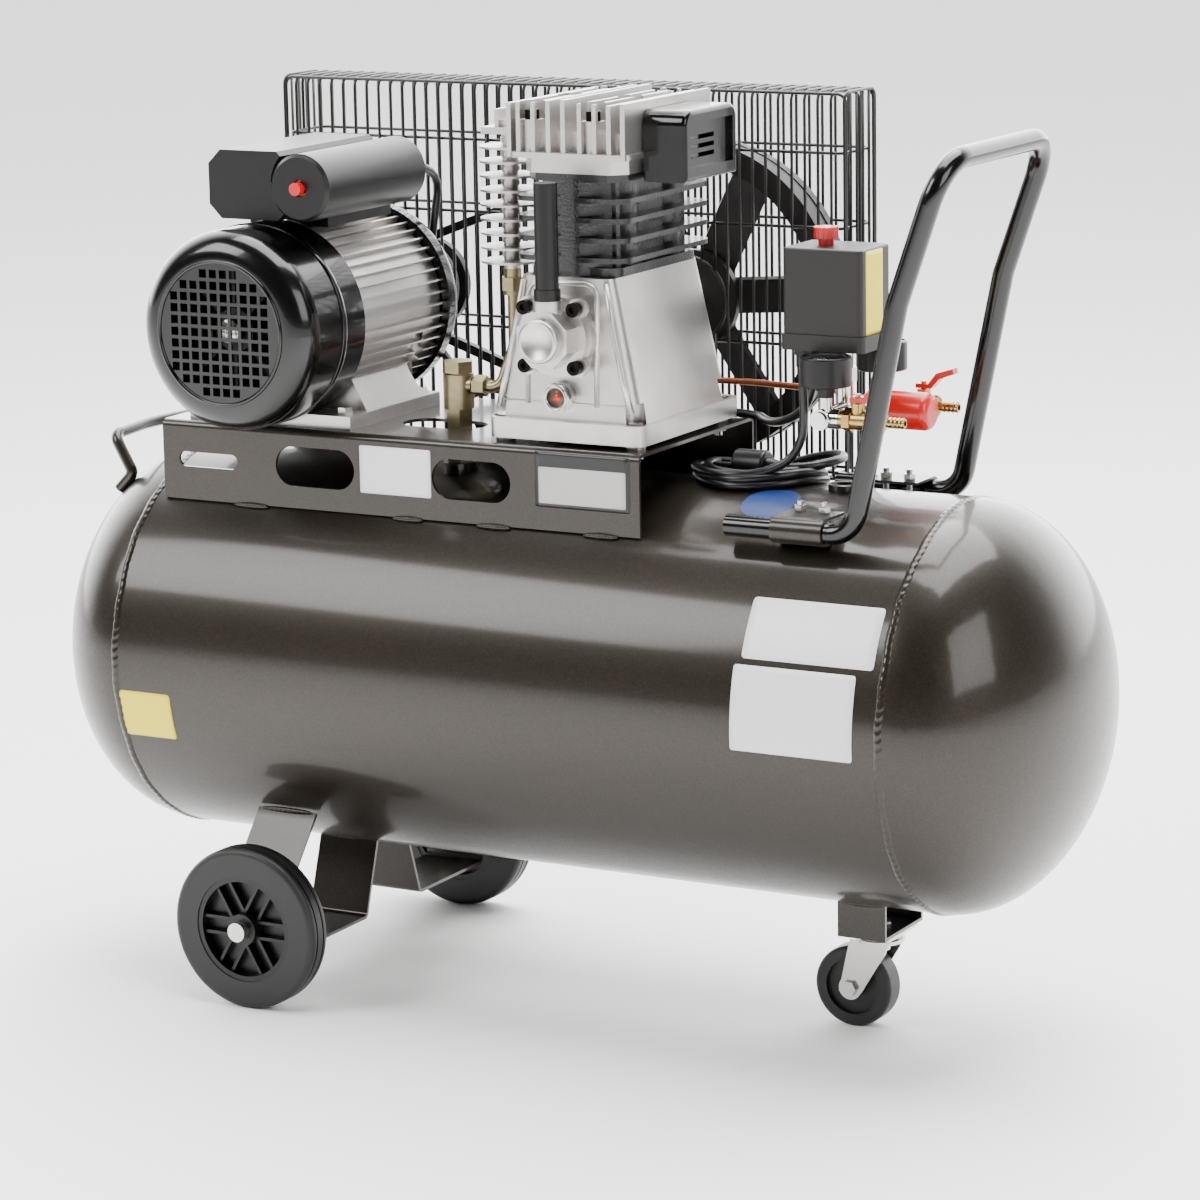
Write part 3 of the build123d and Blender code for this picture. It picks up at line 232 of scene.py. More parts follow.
# metallic enamel: brown-black base, aluminium flake of 0.1 mm drawn at 0.8 mm to show, and a faint
# orange peel of 4 mm under the clear coat
bronze_enamel, tree, shader = new_finish(
    "bronze_metallic_enamel", Metallic=0.55, Coat_Weight=0.6, Coat_Roughness=0.12, Coat_IOR=1.45)
spot = place(tree)
flake = add(tree, "ShaderNodeTexVoronoi", {"Vector": spot, "Scale": 1200})
drift = add(tree, "ShaderNodeTexNoise", {"Vector": spot, "Scale": 5, "Detail": 3})
blend = add(tree, "ShaderNodeMixRGB", {"Fac": drift.outputs["Fac"], "Color1": linear("17110B"),
                                       "Color2": linear("1F180F")})
glint = add(tree, "ShaderNodeSeparateColor", {"Color": flake.outputs["Color"]})
fleck = add(tree, "ShaderNodeMapRange", {"Value": glint.outputs[0], "From Min": 0.3, "To Max": 0.16})
toned = add(tree, "ShaderNodeMixRGB", {"Fac": fleck.outputs[0], "Color1": blend.outputs[0],
                                       "Color2": linear("584A38")})
tree.links.new(toned.outputs[0], shader.inputs["Base Color"])
grit = add(tree, "ShaderNodeMapRange", {"Value": glint.outputs[1], "To Min": 0.34, "To Max": 0.46})
tree.links.new(grit.outputs[0], shader.inputs["Roughness"])
peel = add(tree, "ShaderNodeTexNoise", {"Vector": spot, "Scale": 260, "Detail": 1})
bump(tree, shader, peel.outputs["Fac"], 0.05, 0.0005)
coat(bronze_enamel, "tank_barrel", "tank_heads", "top_plate", "end_handle", "wheel_brackets", "handle_clamps")


def skin(name, grid, finish, body, wrap_u=False, wrap_v=False, smooth=True):
    """One piece from stacked grids (patch, row, column, xyz), with rows or columns that may close."""
    index = np.arange(grid[..., 0].size).reshape(grid.shape[:3])
    if wrap_u:
        index = np.concatenate([index, index[:, :1]], axis=1)
    if wrap_v:
        index = np.concatenate([index, index[:, :, :1]], axis=2)
    quads = np.stack([index[:, :-1, :-1], index[:, 1:, :-1], index[:, 1:, 1:], index[:, :-1, 1:]], axis=-1)
    mesh = bpy.data.meshes.new(name)
    mesh.from_pydata(grid.reshape(-1, 3).tolist(), [], quads.reshape(-1, 4).tolist())
    work = bmesh.new()
    work.from_mesh(mesh)
    bmesh.ops.remove_doubles(work, verts=work.verts, dist=2e-6)
    bmesh.ops.recalc_face_normals(work, faces=work.faces)
    work.to_mesh(mesh)
    work.free()
    mesh.polygons.foreach_set("use_smooth", np.full(len(mesh.polygons), smooth))
    piece = bpy.data.objects.new(name, mesh)
    bpy.context.collection.objects.link(piece)
    mesh.materials.append(finish)
    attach(piece, body)
    return piece


def tube(lines, radius, side, closed=False, around=8):
    """Round bars along lines (bar, point, xyz) that lie square to side: a ring of points, made from
    side and its cross product with the run, carried along each line."""
    lines = np.asarray(lines, float)
    if closed:
        run = np.roll(lines, -1, axis=1) - np.roll(lines, 1, axis=1)
    else:
        run = np.gradient(lines, axis=1)
    run /= np.maximum(np.linalg.norm(run, axis=-1, keepdims=True), 1e-9)
    side = np.broadcast_to(np.asarray(side, float), run.shape)
    other = np.cross(run, side)
    other /= np.maximum(np.linalg.norm(other, axis=-1, keepdims=True), 1e-9)
    turn_by = np.linspace(0, 2 * math.pi, around, endpoint=False)[:, None]
    radius = np.broadcast_to(np.asarray(radius, float), lines.shape[1:2])[:, None, None]
    ring_at = np.cos(turn_by) * side[..., None, :] + np.sin(turn_by) * other[..., None, :]
    return lines[..., None, :] + radius * ring_at


def capped(line):
    """A line with both end points doubled, and the factors that close its tube there: 0 at the ends."""
    line = np.asarray(line, float)
    line = np.concatenate([line[..., :1, :], line, line[..., -1:, :]], axis=-2)
    keep = np.ones(line.shape[-2])
    keep[[0, -1]] = 0
    return line, keep


# seam welds where the dished heads meet the barrel: a low crown 8 mm wide, rippled 150 times round
SEAM_X = 391.5
across_bead = np.linspace(-1, 1, 9)
around_tank = np.linspace(0, 2 * math.pi, 720, endpoint=False)[:, None]
ripple = 0.22 * np.sin(150 * around_tank - 3 * across_bead**2)
crown = TANK_R + MM * (1.9 * (1 - across_bead**2) - 0.5 + ripple)
wander = 4.2 * across_bead + 0.5 * np.sin(9 * around_tank) + 0.35 * np.sin(31 * around_tank)
seam_y, seam_z = crown * np.sin(around_tank), TANK_AXIS + crown * np.cos(around_tank)
seams = np.stack([np.stack([(end + wander) * MM, seam_y, seam_z], axis=-1) for end in (-SEAM_X, SEAM_X)])
skin("tank_seam_welds", seams, bronze_enamel, "tank", wrap_u=True)


def tack_beads(starts, ends, thick):
    """Short weld beads between pairs of points: a tube whose radius ripples and tapers to its ends."""
    t = np.linspace(0, 1, 33)[:, None]
    lines = np.asarray(starts)[:, None] * (1 - t) * MM + np.asarray(ends)[:, None] * t * MM
    swell = thick * MM * (np.sin(math.pi * t[:, 0]) ** 0.4) * (1 + 0.18 * np.sin(70 * t[:, 0]))
    run = lines[:, -1] - lines[:, 0]
    side = np.cross(run, (0.3, 0.2, 1.0))
    side /= np.linalg.norm(side, axis=-1, keepdims=True)
    return tube(lines, swell, side[:, None, :])


# plate to barrel in front and behind, wheel strips to barrel, caster channel to barrel
bead_starts = [(-300, -113, 455), (-128, -113, 455), (-40, -113, 455), (70, -113, 455), (-300, 113, 455),
               (-80, 113, 455), (70, 113, 455), (-268, -133, 173), (-268, 133, 173), (-268, -27, 122),
               (-268, 27, 122), (285, -40, 125), (285, 40, 125)]
bead_ends = [(-262, -113, 455), (-96, -113, 455), (-4, -113, 455), (106, -113, 455), (-262, 113, 455),
             (-44, 113, 455), (106, 113, 455), (-212, -133, 173), (-212, 133, 173), (-212, -27, 122),
             (-212, 27, 122), (328, -40, 125), (328, 40, 125)]
skin("tack_welds", tack_beads(bead_starts, bead_ends, 2.6), bronze_enamel, "tank", wrap_v=True)


# ---- Plain labels ------------------------------------------------------------
# Printed vinyl and foil labels, left blank: thin sheets with rounded corners laid on the barrel,
# the plate's skirt and the side of the switch.
def panel(width, height, corner, rows=9):
    """A rounded rectangle as a fan of rows from its middle to its edge, (row, point, 2), in mm; its
    points lie evenly along the edge, so that the sheet can bend."""
    turn_by = np.linspace(0, 2 * math.pi, 96, endpoint=False)
    quarter = np.stack([np.sign(np.cos(turn_by)), np.sign(np.sin(turn_by))], axis=-1)
    centre = quarter * (np.array([width, height]) / 2 - corner)
    edge = centre + corner * np.stack([np.cos(turn_by), np.sin(turn_by)], axis=-1)
    edge = np.vstack([edge, edge[:1]])
    walked = np.append(0, np.cumsum(np.linalg.norm(np.diff(edge, axis=0), axis=1)))
    even = np.linspace(0, walked[-1], 160, endpoint=False)
    edge = np.column_stack([np.interp(even, walked, edge[:, 0]), np.interp(even, walked, edge[:, 1])])
    return np.linspace(0, 1, rows)[:, None, None] * edge


def on_barrel(flat, x, z):
    """Lays a flat panel on the barrel's front at (x, z) mm: its height becomes arc length, and one
    more row turns its edge down into the paint."""
    lift = np.append(np.full(len(flat), 0.45), -0.2)[:, None] * MM
    flat = np.concatenate([flat, flat[-1:]]) * MM
    rise = math.asin((z * MM - TANK_AXIS) / TANK_R) + flat[..., 1] / TANK_R
    out = TANK_R + lift
    spots = [x * MM + flat[..., 0], -out * np.cos(rise), TANK_AXIS + out * np.sin(rise)]
    return np.stack(spots, axis=-1)[None]


def on_plane(flat, middle, across_by, up_by, out_by):
    """Lays a flat panel on a plane given by its middle in mm, two directions and the outward one."""
    lift = np.append(np.full(len(flat), 0.35), -0.1)[:, None, None]
    flat = np.concatenate([flat, flat[-1:]])
    spots = (np.asarray(middle) + flat[..., :1] * np.asarray(across_by) + flat[..., 1:] * np.asarray(up_by)
             + lift * np.asarray(out_by))
    return spots[None] * MM


def label_finish(name, colour, rough):
    """Printed film: even ink with a faint mottle of 11 mm, under a thin gloss laminate."""
    material, tree, shader = new_finish(name, Roughness=rough, IOR=1.5)
    mottle = add(tree, "ShaderNodeTexNoise", {"Vector": place(tree), "Scale": 90, "Detail": 3})
    ink = add(tree, "ShaderNodeMixRGB", {"Fac": mottle.outputs["Fac"], "Color1": linear(colour),
                                         "Color2": [c * 0.93 for c in linear(colour)[:3]] + [1.0]})
    tree.links.new(ink.outputs[0], shader.inputs["Base Color"])
    return material


# laminated vinyl, bare foil and a printed black border: smooth, with one broad sheen
white_film = label_finish("white_vinyl", "E9E8EA", 0.3)
yellow_film = label_finish("yellow_vinyl", "EFDC00", 0.36)
blue_film = label_finish("blue_vinyl", "22407F", 0.3)
foil = label_finish("grey_foil", "B9B8B5", 0.35)
black_print = label_finish("black_print", "1A1919", 0.35)

skin("label_upper", on_barrel(panel(125, 56, 3), 319.5, 398), white_film, "tank", wrap_v=True)
skin("label_lower", on_barrel(panel(116, 75, 2), 309, 331), white_film, "tank", wrap_v=True)
skin("label_left", on_barrel(panel(56, 46, 3), -361, 262), yellow_film, "tank", wrap_v=True)

# flat labels on the plate's skirt
for name, flat, middle, film in (("label_capacity", panel(75, 44, 1.5), (-124.5, -112, 498), white_film),
                                 ("rating_plate", panel(96, 50, 1.5), (69.5, -112, 502), black_print),
                                 ("rating_plate_field", panel(88, 33, 1), (69.5, -112.3, 497), foil)):
    skin(name, on_plane(flat, middle, (1, 0, 0), (0, 0, 1), (0, -1, 0)), film, "tank",
         wrap_v=True)

# oval label over the top of the barrel, in front of the coil
OVAL_X, OVAL_Y = 224, -48
oval = panel(50, 58, 24.9) * MM
from_top = math.asin(OVAL_Y * MM / TANK_R) + oval[..., 1] / TANK_R
oval_r = TANK_R + 0.35 * MM
oval_y, oval_z = oval_r * np.sin(from_top), TANK_AXIS + oval_r * np.cos(from_top)
oval_spots = np.stack([OVAL_X * MM + oval[..., 0], oval_y, oval_z], axis=-1)
skin("label_oval", oval_spots[None], blue_film, "tank", wrap_v=True)

# flat label on the side of the switch
skin("label_switch", on_plane(panel(34, 74, 2), (305.0, -4, 670), (0, 1, 0), (0, 0, 1), (1, 0, 0)),
     yellow_film, "tank", wrap_v=True)


# ---- Wheels and caster -------------------------------------------------------
# Two fixed wheels with solid rubber tyres on ribbed ABS hubs, held by through bolts, and a swivel
# caster with a zinc-plated fork under the other end.

# moulded rubber: near black and matt; its mould grain of half a millimetre is drawn at 1 mm
rubber, tree, shader = new_finish("moulded_rubber", Base_Color=linear("0A0909"), Roughness=0.5, IOR=1.5)
grain = add(tree, "ShaderNodeTexNoise", {"Vector": place(tree), "Scale": 900, "Detail": 2})
bump(tree, shader, grain.outputs["Fac"], 0.25, 0.0003)
coat(rubber, "tyre_front", "tyre_rear", "caster_wheel")
coat(black_abs, "hub_front", "hub_rear")

# bright zinc plate on pressed and turned steel: cool, clean reflections, slightly broken every 2 mm
steel, tree, shader = new_finish(
    "bright_zinc_plate", Base_Color=linear("C6C5C1"), Metallic=1.0, Roughness=0.26)
grain = add(tree, "ShaderNodeTexNoise", {"Vector": place(tree), "Scale": 500, "Detail": 2})
bump(tree, shader, grain.outputs["Fac"], 0.15, 0.0003)
coat(steel, "frame_bolts", "caster_plate", "caster_fork")


# ---- Push handle -------------------------------------------------------------
# One bent steel tube, 19 mm thick, held to the tank by two clamps and painted gloss black.

# gloss black enamel on pressed and bent steel: sharp highlights over an orange peel of 5.5 mm
black_enamel, tree, shader = new_finish(
    "black_gloss_enamel", Base_Color=linear("050404"), Roughness=0.2, IOR=1.4, Coat_Weight=0.35,
    Coat_Roughness=0.05)
peel = add(tree, "ShaderNodeTexNoise", {"Vector": place(tree), "Scale": 180, "Detail": 1})
bump(tree, shader, peel.outputs["Fac"], 0.06, 0.0006)
coat(black_enamel, "push_handle")


# ---- Belt drive --------------------------------------------------------------
# Cast flywheel with fan blades on the crankshaft, a small pulley on the motor, and one V belt
# running round both.

# sprayed grey iron: dull and dark over a sand-cast grain of 2.5 mm
grey_iron, tree, shader = new_finish(
    "painted_grey_iron", Base_Color=linear("201D1C"), Roughness=0.5, Metallic=0.3)
grain = add(tree, "ShaderNodeTexNoise", {"Vector": place(tree), "Scale": 400, "Detail": 4})
bump(tree, shader, grain.outputs["Fac"], 0.5, 0.0006)
coat(grey_iron, "flywheel", "motor_pulley")
coat(rubber, "drive_belt")


# ---- Belt guard ----------------------------------------------------------------
# Basket of 3 mm wire, spot welded and dipped black: upright hoops across it, long hoops along it
# and level wires.  The hoops in front of a shaft stop at the ring round its hole.

# dip coating: black and satin, with soft runs every 4.5 mm
wire_coat, tree, shader = new_finish(
    "black_dipped_wire", Base_Color=linear("130F0E"), Roughness=0.32, IOR=1.5)
drips = add(tree, "ShaderNodeTexNoise", {"Vector": place(tree), "Scale": 220, "Detail": 2})
bump(tree, shader, drips.outputs["Fac"], 0.3, 0.0005)

HOOPS = 46
WIRE_R = 1.5 * MM
MOTOR_AXIS, CRANK_AXIS = np.array([-268, 0, 625]), np.array([38, 0, 628.5])
LOW_WIRE_Z, LEVEL_WIRES_Z = 0.592, np.array([0.702, 0.771])
HOOP_JOINT_Z = 0.66
MOTOR_GAP, CRANK_GAP = 18 * MM, 21 * MM
(gx0, _, gz0), (gx1, gy1, gz1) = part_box("guard_back")
gy0 = 0.150     # the front run stands in the plane of the front panel
middle_x, middle_y, middle_z = (gx0 + gx1) / 2, (gy0 + gy1) / 2, (gz0 + gz1) / 2
(motor_x, _, motor_z), (crank_x, _, crank_z) = MOTOR_AXIS * MM, CRANK_AXIS * MM
shaft_holes = ((motor_x, motor_z, 31.5 * MM), (crank_x, crank_z, 41.5 * MM))


def rounded_box(width, height, corner, points=6):
    """A rounded rectangle, anticlockwise from its lower right corner, (point, 2), about its middle."""
    arc = np.linspace(-math.pi / 2, 0, points)
    turns = arc[None] + np.array([0, 1, 2, 3])[:, None] * math.pi / 2
    centres = np.array([(1, -1), (1, 1), (-1, 1), (-1, -1)]) * (np.array([width, height]) / 2 - corner)
    return (centres[:, None] + corner * np.stack([np.cos(turns), np.sin(turns)], axis=-1)).reshape(-1, 2)


# upright hoops: from the front run over the top, down the back and forward to the front run again
hoop_x = np.linspace(gx0 + WIRE_R, gx1 - WIRE_R, HOOPS)
shape = rounded_box(gy1 - gy0 - 2 * WIRE_R, gz1 - gz0 - 2 * WIRE_R, 9 * MM)
loop = np.roll(shape[::-1], -6, axis=0)
upper_end = np.full(HOOPS, HOOP_JOINT_Z)
lower_end = np.full(HOOPS, HOOP_JOINT_Z)
for hole_x, hole_z, hole_r in shaft_holes:
    half = np.sqrt(np.maximum(hole_r**2 - (hoop_x - hole_x) ** 2, 0))
    upper_end = np.where(half > 0, hole_z + half, upper_end)
    lower_end = np.where(half > 0, hole_z - half, lower_end)
hoops = np.empty((HOOPS, len(loop) + 2, 3))
hoops[..., 0] = hoop_x[:, None]
hoops[:, 1:-1, 1] = middle_y + loop[:, 0]
hoops[:, 1:-1, 2] = middle_z + loop[:, 1]
hoops[:, [0, -1], 1] = gy0 + WIRE_R
hoops[:, 0, 2] = upper_end
hoops[:, -1, 2] = lower_end
hoops, keep = capped(hoops)
guard_wires = skin("guard_hoops", tube(hoops, WIRE_R * keep, (1, 0, 0)), wire_coat, "tank",
                   wrap_v=True)
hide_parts("guard_front", "guard_back")

# long hoops: one near each edge and one along the middle, pressed into the upright ones by the welds
long_shape = rounded_box(gx1 - gx0 - 2 * WIRE_R, gz1 - gz0 - 8 * WIRE_R, 8 * MM)
stretch = (gz1 - gz0 - 4 * WIRE_R) / (gz1 - gz0 - 8 * WIRE_R)
long_hoops = np.empty((3, len(long_shape), 3))
long_hoops[..., 0] = middle_x + long_shape[:, 0]
long_hoops[..., 1] = np.array([gy0 + 3 * WIRE_R, middle_y, gy1 - 3 * WIRE_R])[:, None]
long_hoops[..., 2] = middle_z + long_shape[:, 1] * stretch
skin("guard_long_hoops", tube(long_hoops, 1.6 * MM, (0, 1, 0), closed=True), wire_coat, "tank",
     wrap_u=True, wrap_v=True)

# upright wires that close the two ends
end_y = np.tile(np.linspace(gy0 + WIRE_R, gy1 - WIRE_R, 6)[1:-1], 2)
end_x = np.repeat([gx0 + WIRE_R, gx1 - WIRE_R], 4)
posts = np.stack([np.column_stack([end_x, end_y, np.full(8, z)])
                  for z in (gz0 + 2 * WIRE_R, middle_z, gz1 - 2 * WIRE_R)], axis=1)
posts, keep = capped(posts)
skin("guard_end_wires", tube(posts, WIRE_R * keep, (1, 0, 0)), wire_coat, "tank", wrap_v=True)

# level wires: two whole hoops, and a low one broken where its front run meets the shafts' holes
level_shape = rounded_box(gx1 - gx0 - 6 * WIRE_R, gy1 - gy0 - 6 * WIRE_R, 7 * MM)
levels = np.empty((2, len(level_shape), 3))
levels[..., 0] = middle_x + level_shape[:, 0]
levels[..., 1] = middle_y + level_shape[:, 1]
levels[..., 2] = LEVEL_WIRES_Z[:, None]
skin("guard_level_wires", tube(levels, WIRE_R, (0, 0, 1), closed=True), wire_coat, "tank",
     wrap_u=True, wrap_v=True)
t = np.linspace(0, 2 * math.pi, 48, endpoint=False)
rings = np.stack([np.column_stack([hole_x + hole_r * np.cos(t), np.full(48, gy0 + WIRE_R),
                                   hole_z + hole_r * np.sin(t)]) for hole_x, hole_z, hole_r in shaft_holes])
skin("guard_shaft_rings", tube(rings, 1.7 * MM, (0, 1, 0), closed=True), wire_coat, "tank",
     wrap_u=True, wrap_v=True)
low_y = np.array([gy1 - 3 * WIRE_R] + 3 * [gy0 + 3 * WIRE_R])
left_end, right_end = gx0 + 2 * WIRE_R, gx1 - 2 * WIRE_R
low_ends = np.array([(left_end, right_end), (left_end, motor_x - MOTOR_GAP),
                     (motor_x + MOTOR_GAP, crank_x - CRANK_GAP), (crank_x + CRANK_GAP, right_end)])
low_runs = np.full((4, 2, 3), LOW_WIRE_Z)
low_runs[..., 0] = low_ends
low_runs[..., 1] = low_y[:, None]
low_runs, keep = capped(low_runs)
skin("guard_low_wires", tube(low_runs, WIRE_R * keep, (0, 0, 1)), wire_coat, "tank",
     wrap_v=True)


# ---- Motor ------------------------------------------------------------------
# Finned cast frame on its foot, between pressed steel shields; a pressed fan cover with a rolled
# ring round its grille and a lapped joint behind it, and a moulded terminal box on top.

# shot-blasted aluminium casting: bright and silky, clouded every 33 mm, with a grain of 0.9 mm
cast_metal, tree, shader = new_finish("shot_blasted_aluminium", Metallic=0.95)
spot = place(tree)
grain = add(tree, "ShaderNodeTexNoise", {"Vector": spot, "Scale": 1100, "Detail": 3})
cloud = add(tree, "ShaderNodeTexNoise", {"Vector": spot, "Scale": 30, "Detail": 3})
blend = add(tree, "ShaderNodeMixRGB", {"Fac": cloud.outputs["Fac"], "Color1": linear("D6D2CF"),
                                       "Color2": linear("BFBBB8")})
tree.links.new(blend.outputs[0], shader.inputs["Base Color"])
rough = add(tree, "ShaderNodeMapRange", {"Value": cloud.outputs["Fac"], "To Min": 0.28, "To Max": 0.42})
tree.links.new(rough.outputs[0], shader.inputs["Roughness"])
bump(tree, shader, grain.outputs["Fac"], 0.3, 0.0004)
coat(cast_metal, "motor_frame")


def worn_metal(name, bright, dull, low, high):
    """Turned, drawn or plated metal: colour and roughness drift together every 8 mm."""
    material, tree, shader = new_finish(name, Metallic=1.0)
    film = add(tree, "ShaderNodeTexNoise", {"Vector": place(tree), "Scale": 120, "Detail": 3})
    tone = add(tree, "ShaderNodeMixRGB", {"Fac": film.outputs["Fac"], "Color1": linear(bright),
                                          "Color2": linear(dull)})
    tree.links.new(tone.outputs[0], shader.inputs["Base Color"])
    rough = add(tree, "ShaderNodeMapRange", {"Value": film.outputs["Fac"], "To Min": low, "To Max": high})
    tree.links.new(rough.outputs[0], shader.inputs["Roughness"])
    return material


# drawn copper wire and tube: salmon red where rubbed, browner where handled
copper = worn_metal("drawn_copper", "A9674A", "8C4E35", 0.25, 0.36)

# moulded red ABS: saturated and glossy, with a faint ripple of 3 mm
red_abs, tree, shader = new_finish("moulded_red_abs", Base_Color=linear("C81512"), Roughness=0.25, IOR=1.53)
ripple = add(tree, "ShaderNodeTexNoise", {"Vector": place(tree), "Scale": 300, "Detail": 2})
bump(tree, shader, ripple.outputs["Fac"], 0.1, 0.0004)

coat(black_enamel, "motor_shields", "fan_cover")
coat(black_abs, "capacitor_box", "rotor")
coat(red_abs, "reset_button")
coat(copper, "stator")
coat(steel, "shaft_bearings")


def turned(profile, centre, axis, points=96):
    """A profile (distance along, radius) turned about an axis through centre, all in mm: cosine and
    sine of the turn times the radius, (1, point, profile, xyz)."""
    profile = np.asarray(profile, float) * MM
    t = np.linspace(0, 2 * math.pi, points, endpoint=False)[:, None]
    along = np.broadcast_to(profile[:, 0], (points, len(profile)))
    a, b = profile[:, 1] * np.cos(t), profile[:, 1] * np.sin(t)
    parts = {"x": (along, a, b), "y": (a, along, b), "z": (a, b, along)}[axis]
    return (np.stack(parts, axis=-1) + np.asarray(centre) * MM)[None]


bead_turn = np.linspace(0, 2 * math.pi, 13)
grille_ring = np.column_stack([-175.2 + 1.9 * np.sin(bead_turn), 65.5 + 1.9 * np.cos(bead_turn)])
skin("fan_cover_ring", turned(grille_ring, MOTOR_AXIS, "y"), black_enamel, "tank", wrap_u=True)
lap = [(-112, 91.9), (-111.5, 93.1), (-105.5, 93.1), (-104, 91.9), (-108, 91), (-112, 91.9)]
skin("fan_cover_lap", turned(lap, MOTOR_AXIS, "y"), black_enamel, "tank", wrap_u=True)
shaft_end = [(-161.2, 0), (-161.2, 10.5), (-159.5, 11.9), (-150.2, 11.9)]
skin("motor_shaft_end", turned(shaft_end, MOTOR_AXIS, "y", 48), steel, "motor_rotor", wrap_u=True)


# ---- Pump ---------------------------------------------------------------------
# Cast crankcase, painted iron cylinder block, valve plate and finned head bolted in a stack, with a
# breather tube, an oil window and an intake filter.  Raised ribs frame the bearing cover.

# painted iron: black and half gloss over a sand-cast grain of 2.4 mm
black_casting, tree, shader = new_finish(
    "black_painted_iron", Base_Color=linear("070606"), Roughness=0.3, Coat_Weight=0.35, Coat_Roughness=0.12)
grain = add(tree, "ShaderNodeTexNoise", {"Vector": place(tree), "Scale": 420, "Detail": 4})
bump(tree, shader, grain.outputs["Fac"], 0.8, 0.0008)

# polished ABS: black and glossy, sunk a little every 40 mm where it shrank over its ribs
gloss_abs, tree, shader = new_finish(
    "polished_black_abs", Base_Color=linear("040404"), Roughness=0.14, IOR=1.45)
sink = add(tree, "ShaderNodeTexNoise", {"Vector": place(tree), "Scale": 25, "Detail": 1})
bump(tree, shader, sink.outputs["Fac"], 0.15, 0.004)

# black oxide on screws and needles: dark, dry steel
oxide = worn_metal("black_oxide", "1E1D1C", "151413", 0.34, 0.46)

# thin oil behind the window: brown and still, rippled every 17 mm
dark_oil, tree, shader = new_finish("dark_oil", Base_Color=linear("5A4636"), Roughness=0.2, IOR=1.47)
swirl = add(tree, "ShaderNodeTexNoise", {"Vector": place(tree), "Scale": 60, "Detail": 2})
bump(tree, shader, swirl.outputs["Fac"], 0.2, 0.0005)

coat(cast_metal, "crankcase", "valve_plate", "cylinder_head", "bearing_cover")
coat(black_casting, "cylinder_block")
coat(gloss_abs, "air_filter")
coat(black_abs, "breather_tube")
coat(oxide, "pump_bolts")
coat(steel, "crankshaft", "piston_front", "piston_rear", "sight_glass")


def front_y(z):
    """The sloping front face of the crankcase, in mm: 5 mm back over its height of 129 mm."""
    return -89 + (z - 551) * 5 / 129


def face_rib(name, route, thick):
    """A half round rib on the front face along (x, z) points in mm."""
    route = np.asarray(route, float)
    spots = np.column_stack([route[:, 0], front_y(route[:, 1]), route[:, 1]]) * MM
    line, keep = capped(spots[None])
    skin(name, tube(line, thick * MM * keep, (0, 1, 0)), cast_metal, "tank", wrap_v=True)


arch = np.roll(rounded_box(70, 118, 12), -6, axis=0)[:12] + (38, 616)
face_rib("crankcase_front_rib", np.vstack([[(73, 566)], arch, [(3, 566)]]), 2.6)
face_rib("crankcase_left_rib", [(-1, 676), (-9, 640), (-20, 590), (-27, 562)], 3.0)
face_rib("crankcase_right_rib", [(82, 676), (88, 640), (100, 590), (108, 562)], 3.0)
face_rib("crankcase_joint_line", [(-26, 568), (40, 568), (108, 568)], 1.0)

# round cap on the bearing cover: a shallow rim round a sunk disc
cap_rim = [(-131.5, 0), (-131.5, 14.8), (-132.8, 15.6), (-132.8, 18), (-131.6, 19.4), (-129, 19.6)]
skin("bearing_cap_rim", turned(cap_rim, CRANK_AXIS, "y", 64), cast_metal, "tank",
     wrap_u=True)

# oil window: a dark well with a red level mark, in a turned ring
WINDOW_AXIS = (38, 0, 574)
skin("oil_window", turned([(-98.4, 0), (-98.4, 8.8), (-98, 8.95)], WINDOW_AXIS, "y", 48), dark_oil, "tank",
     wrap_u=True)
level_mark = [(-98.9, 0), (-98.9, 3.6), (-98.3, 3.7)]
skin("oil_level_mark", turned(level_mark, WINDOW_AXIS, "y", 32), red_abs, "tank", wrap_u=True)
window_ring = [(-101.1, 9.2), (-102.4, 9.8), (-102.4, 11), (-101.2, 11.8), (-100, 11.9)]
skin("oil_window_ring", turned(window_ring, WINDOW_AXIS, "y", 48), steel, "tank", wrap_u=True)


# brass left to tarnish: greyed, with dull patches
dull_brass = worn_metal("tarnished_brass", "A29878", "877C5E", 0.28, 0.4)
coat(cast_metal, "discharge_tube")
coat(dull_brass, "check_valve", "delivery_pipe")
coat(copper, "unloader_tube")


# ---- Pressure switch, gauges, taps ----------------------------------------------
# Switch in a textured ABS hood with a red knob, screwed on a chromed manifold with two gauges, a
# regulator and two brass ball valves with barbed hose tails; a drain screw under the tank.

# textured ABS: dark grey and satin, its spark grain of 1.1 mm drawn out upright
switch_abs, tree, shader = new_finish(
    "textured_grey_abs", Base_Color=linear("151110"), Roughness=0.42, IOR=1.45)
spark = add(tree, "ShaderNodeTexNoise", {"Vector": place(tree, (1, 1, 0.15)), "Scale": 900, "Detail": 2})
bump(tree, shader, spark.outputs["Fac"], 0.2, 0.0003)

# chrome plate is a near mirror; machined brass is yellow with fine tool marks
chrome = worn_metal("chrome_plate", "DADAD8", "C9C8C6", 0.06, 0.16)
brass = worn_metal("machined_brass", "C2A468", "A3854C", 0.2, 0.34)

# clear moulded acrylic: colourless and smooth
lens_acrylic, tree, shader = new_finish("clear_lens", Base_Color=linear("F4F2EE"), Roughness=0.04, IOR=1.5,
                                        Transmission_Weight=1.0)
# matt white card and the black ink on it
dial_card = label_finish("dial_card", "EDEBE6", 0.5)
tick_ink = label_finish("dial_ink", "161616", 0.5)

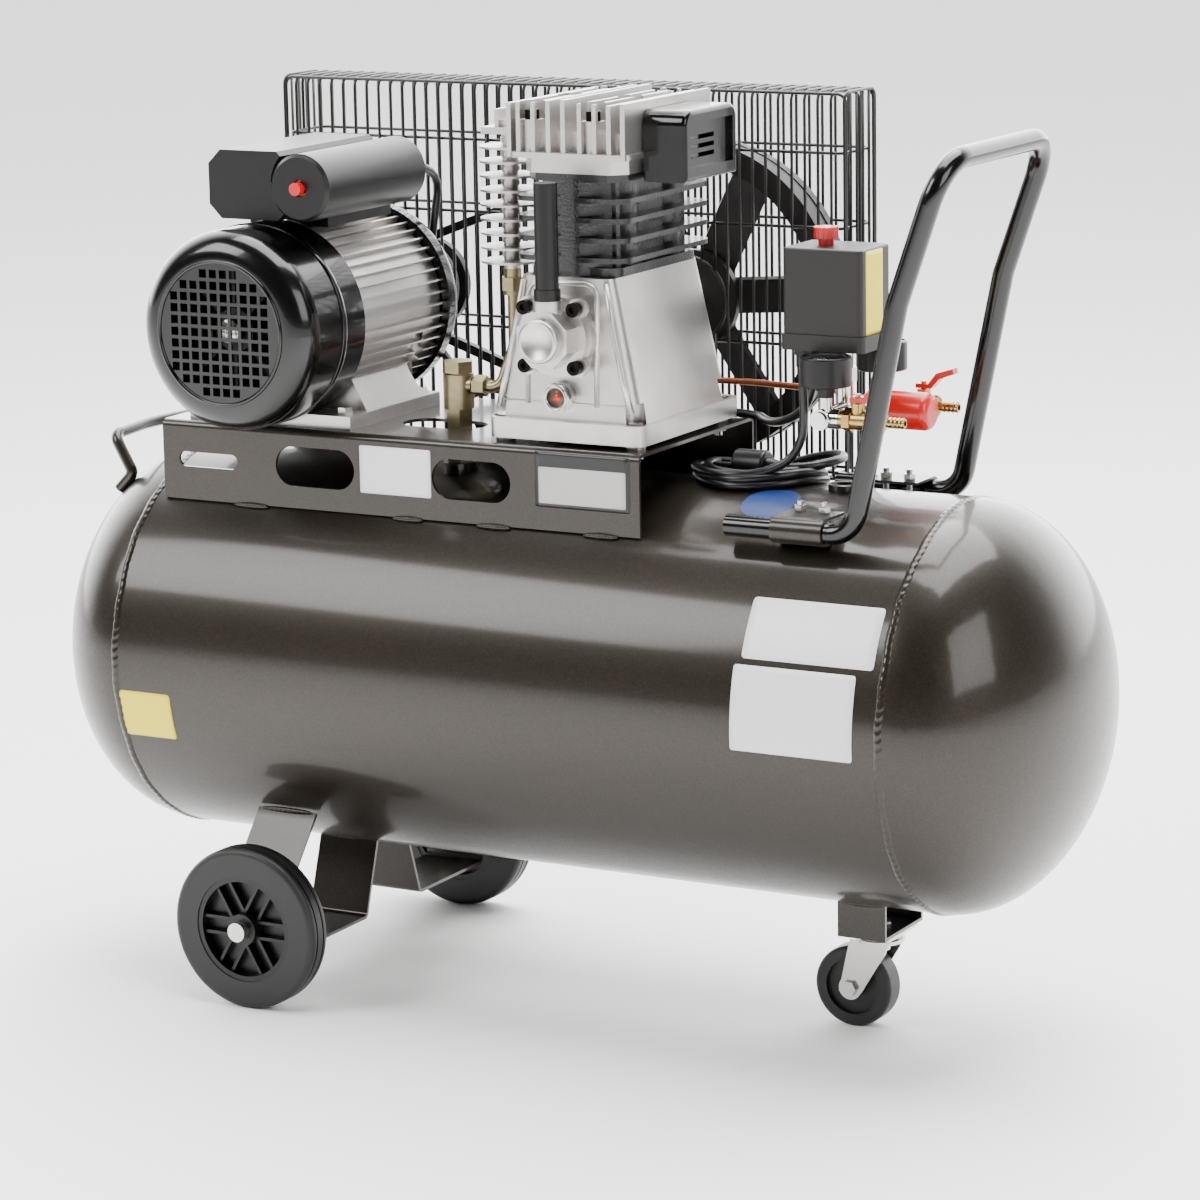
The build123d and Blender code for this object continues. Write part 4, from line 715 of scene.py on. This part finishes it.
coat(switch_abs, "pressure_switch")
coat(red_abs, "switch_knob", "regulator_knob", "tap_lever_front", "tap_lever_rear")
coat(chrome, "manifold")
coat(brass, "outlet_taps", "drain_screw")
coat(black_abs, "gauge_bodies")
coat(oxide, "needle_tank", "needle_outlet")

# dials under their lenses: 28 ticks over three quarters of a turn, each one flat four-sided patch
DIAL_UP, LENS_UP = 21.7, 26.0
TICK_IN, TICK_OUT, TICK_HALF = 15.5, 19.0, 0.02
tick_turn = np.radians(np.linspace(0, -270, 28))[:, None, None] + np.array([-TICK_HALF, TICK_HALF])
tick_r = np.array([TICK_IN, TICK_OUT])[:, None]
tick_x, tick_y = tick_r * np.cos(tick_turn), tick_r * np.sin(tick_turn)
for name, (gauge_x, gauge_y, gauge_z) in (("tank", (276, -42, 591)), ("outlet", (282, 60, 591))):
    face, glass = gauge_z + DIAL_UP, gauge_z + LENS_UP
    on_axis = (gauge_x, gauge_y, 0)
    skin(f"dial_{name}", turned([(face, 1.7), (face, 20.3)], on_axis, "z", 64), dial_card, "tank",
         wrap_u=True)
    ticks = np.stack([gauge_x + tick_x, gauge_y + tick_y, np.full(tick_x.shape, face + 0.08)], axis=-1)
    skin(f"dial_ticks_{name}", ticks * MM, tick_ink, "tank", smooth=False)
    lens_profile = [(glass + 0.9, 0), (glass + 0.6, 12), (glass, 20.4),
                    (glass - 0.8, 20.4), (glass - 0.3, 12), (glass, 0)]
    skin(f"gauge_lens_{name}", turned(lens_profile, on_axis, "z", 64), lens_acrylic, "tank",
         wrap_u=True)

# hose tails: four barbs, 4 mm apart, each a quick rise and a long slope back from the tip
TAIL_Z = 562
barb = np.array([(3.6, 4.1), (0.4, 5.0), (0, 4.0)])
barbs = np.concatenate([barb + (4 * k, 0) for k in (3, 2, 1, 0)])
for name, y, tip in (("front", -40, 351), ("rear", 56, 359)):
    root, mouth = [(tip - 19.5, 4.0)], [(tip + 0.1, 3.6), (tip + 0.1, 2.6)]
    tail = np.vstack([root, barbs * (-1, 1) + (tip - 1, 0), mouth])
    skin(f"hose_barbs_{name}", turned(tail, (0, y, TAIL_Z), "x", 40), brass, "tank", wrap_u=True)
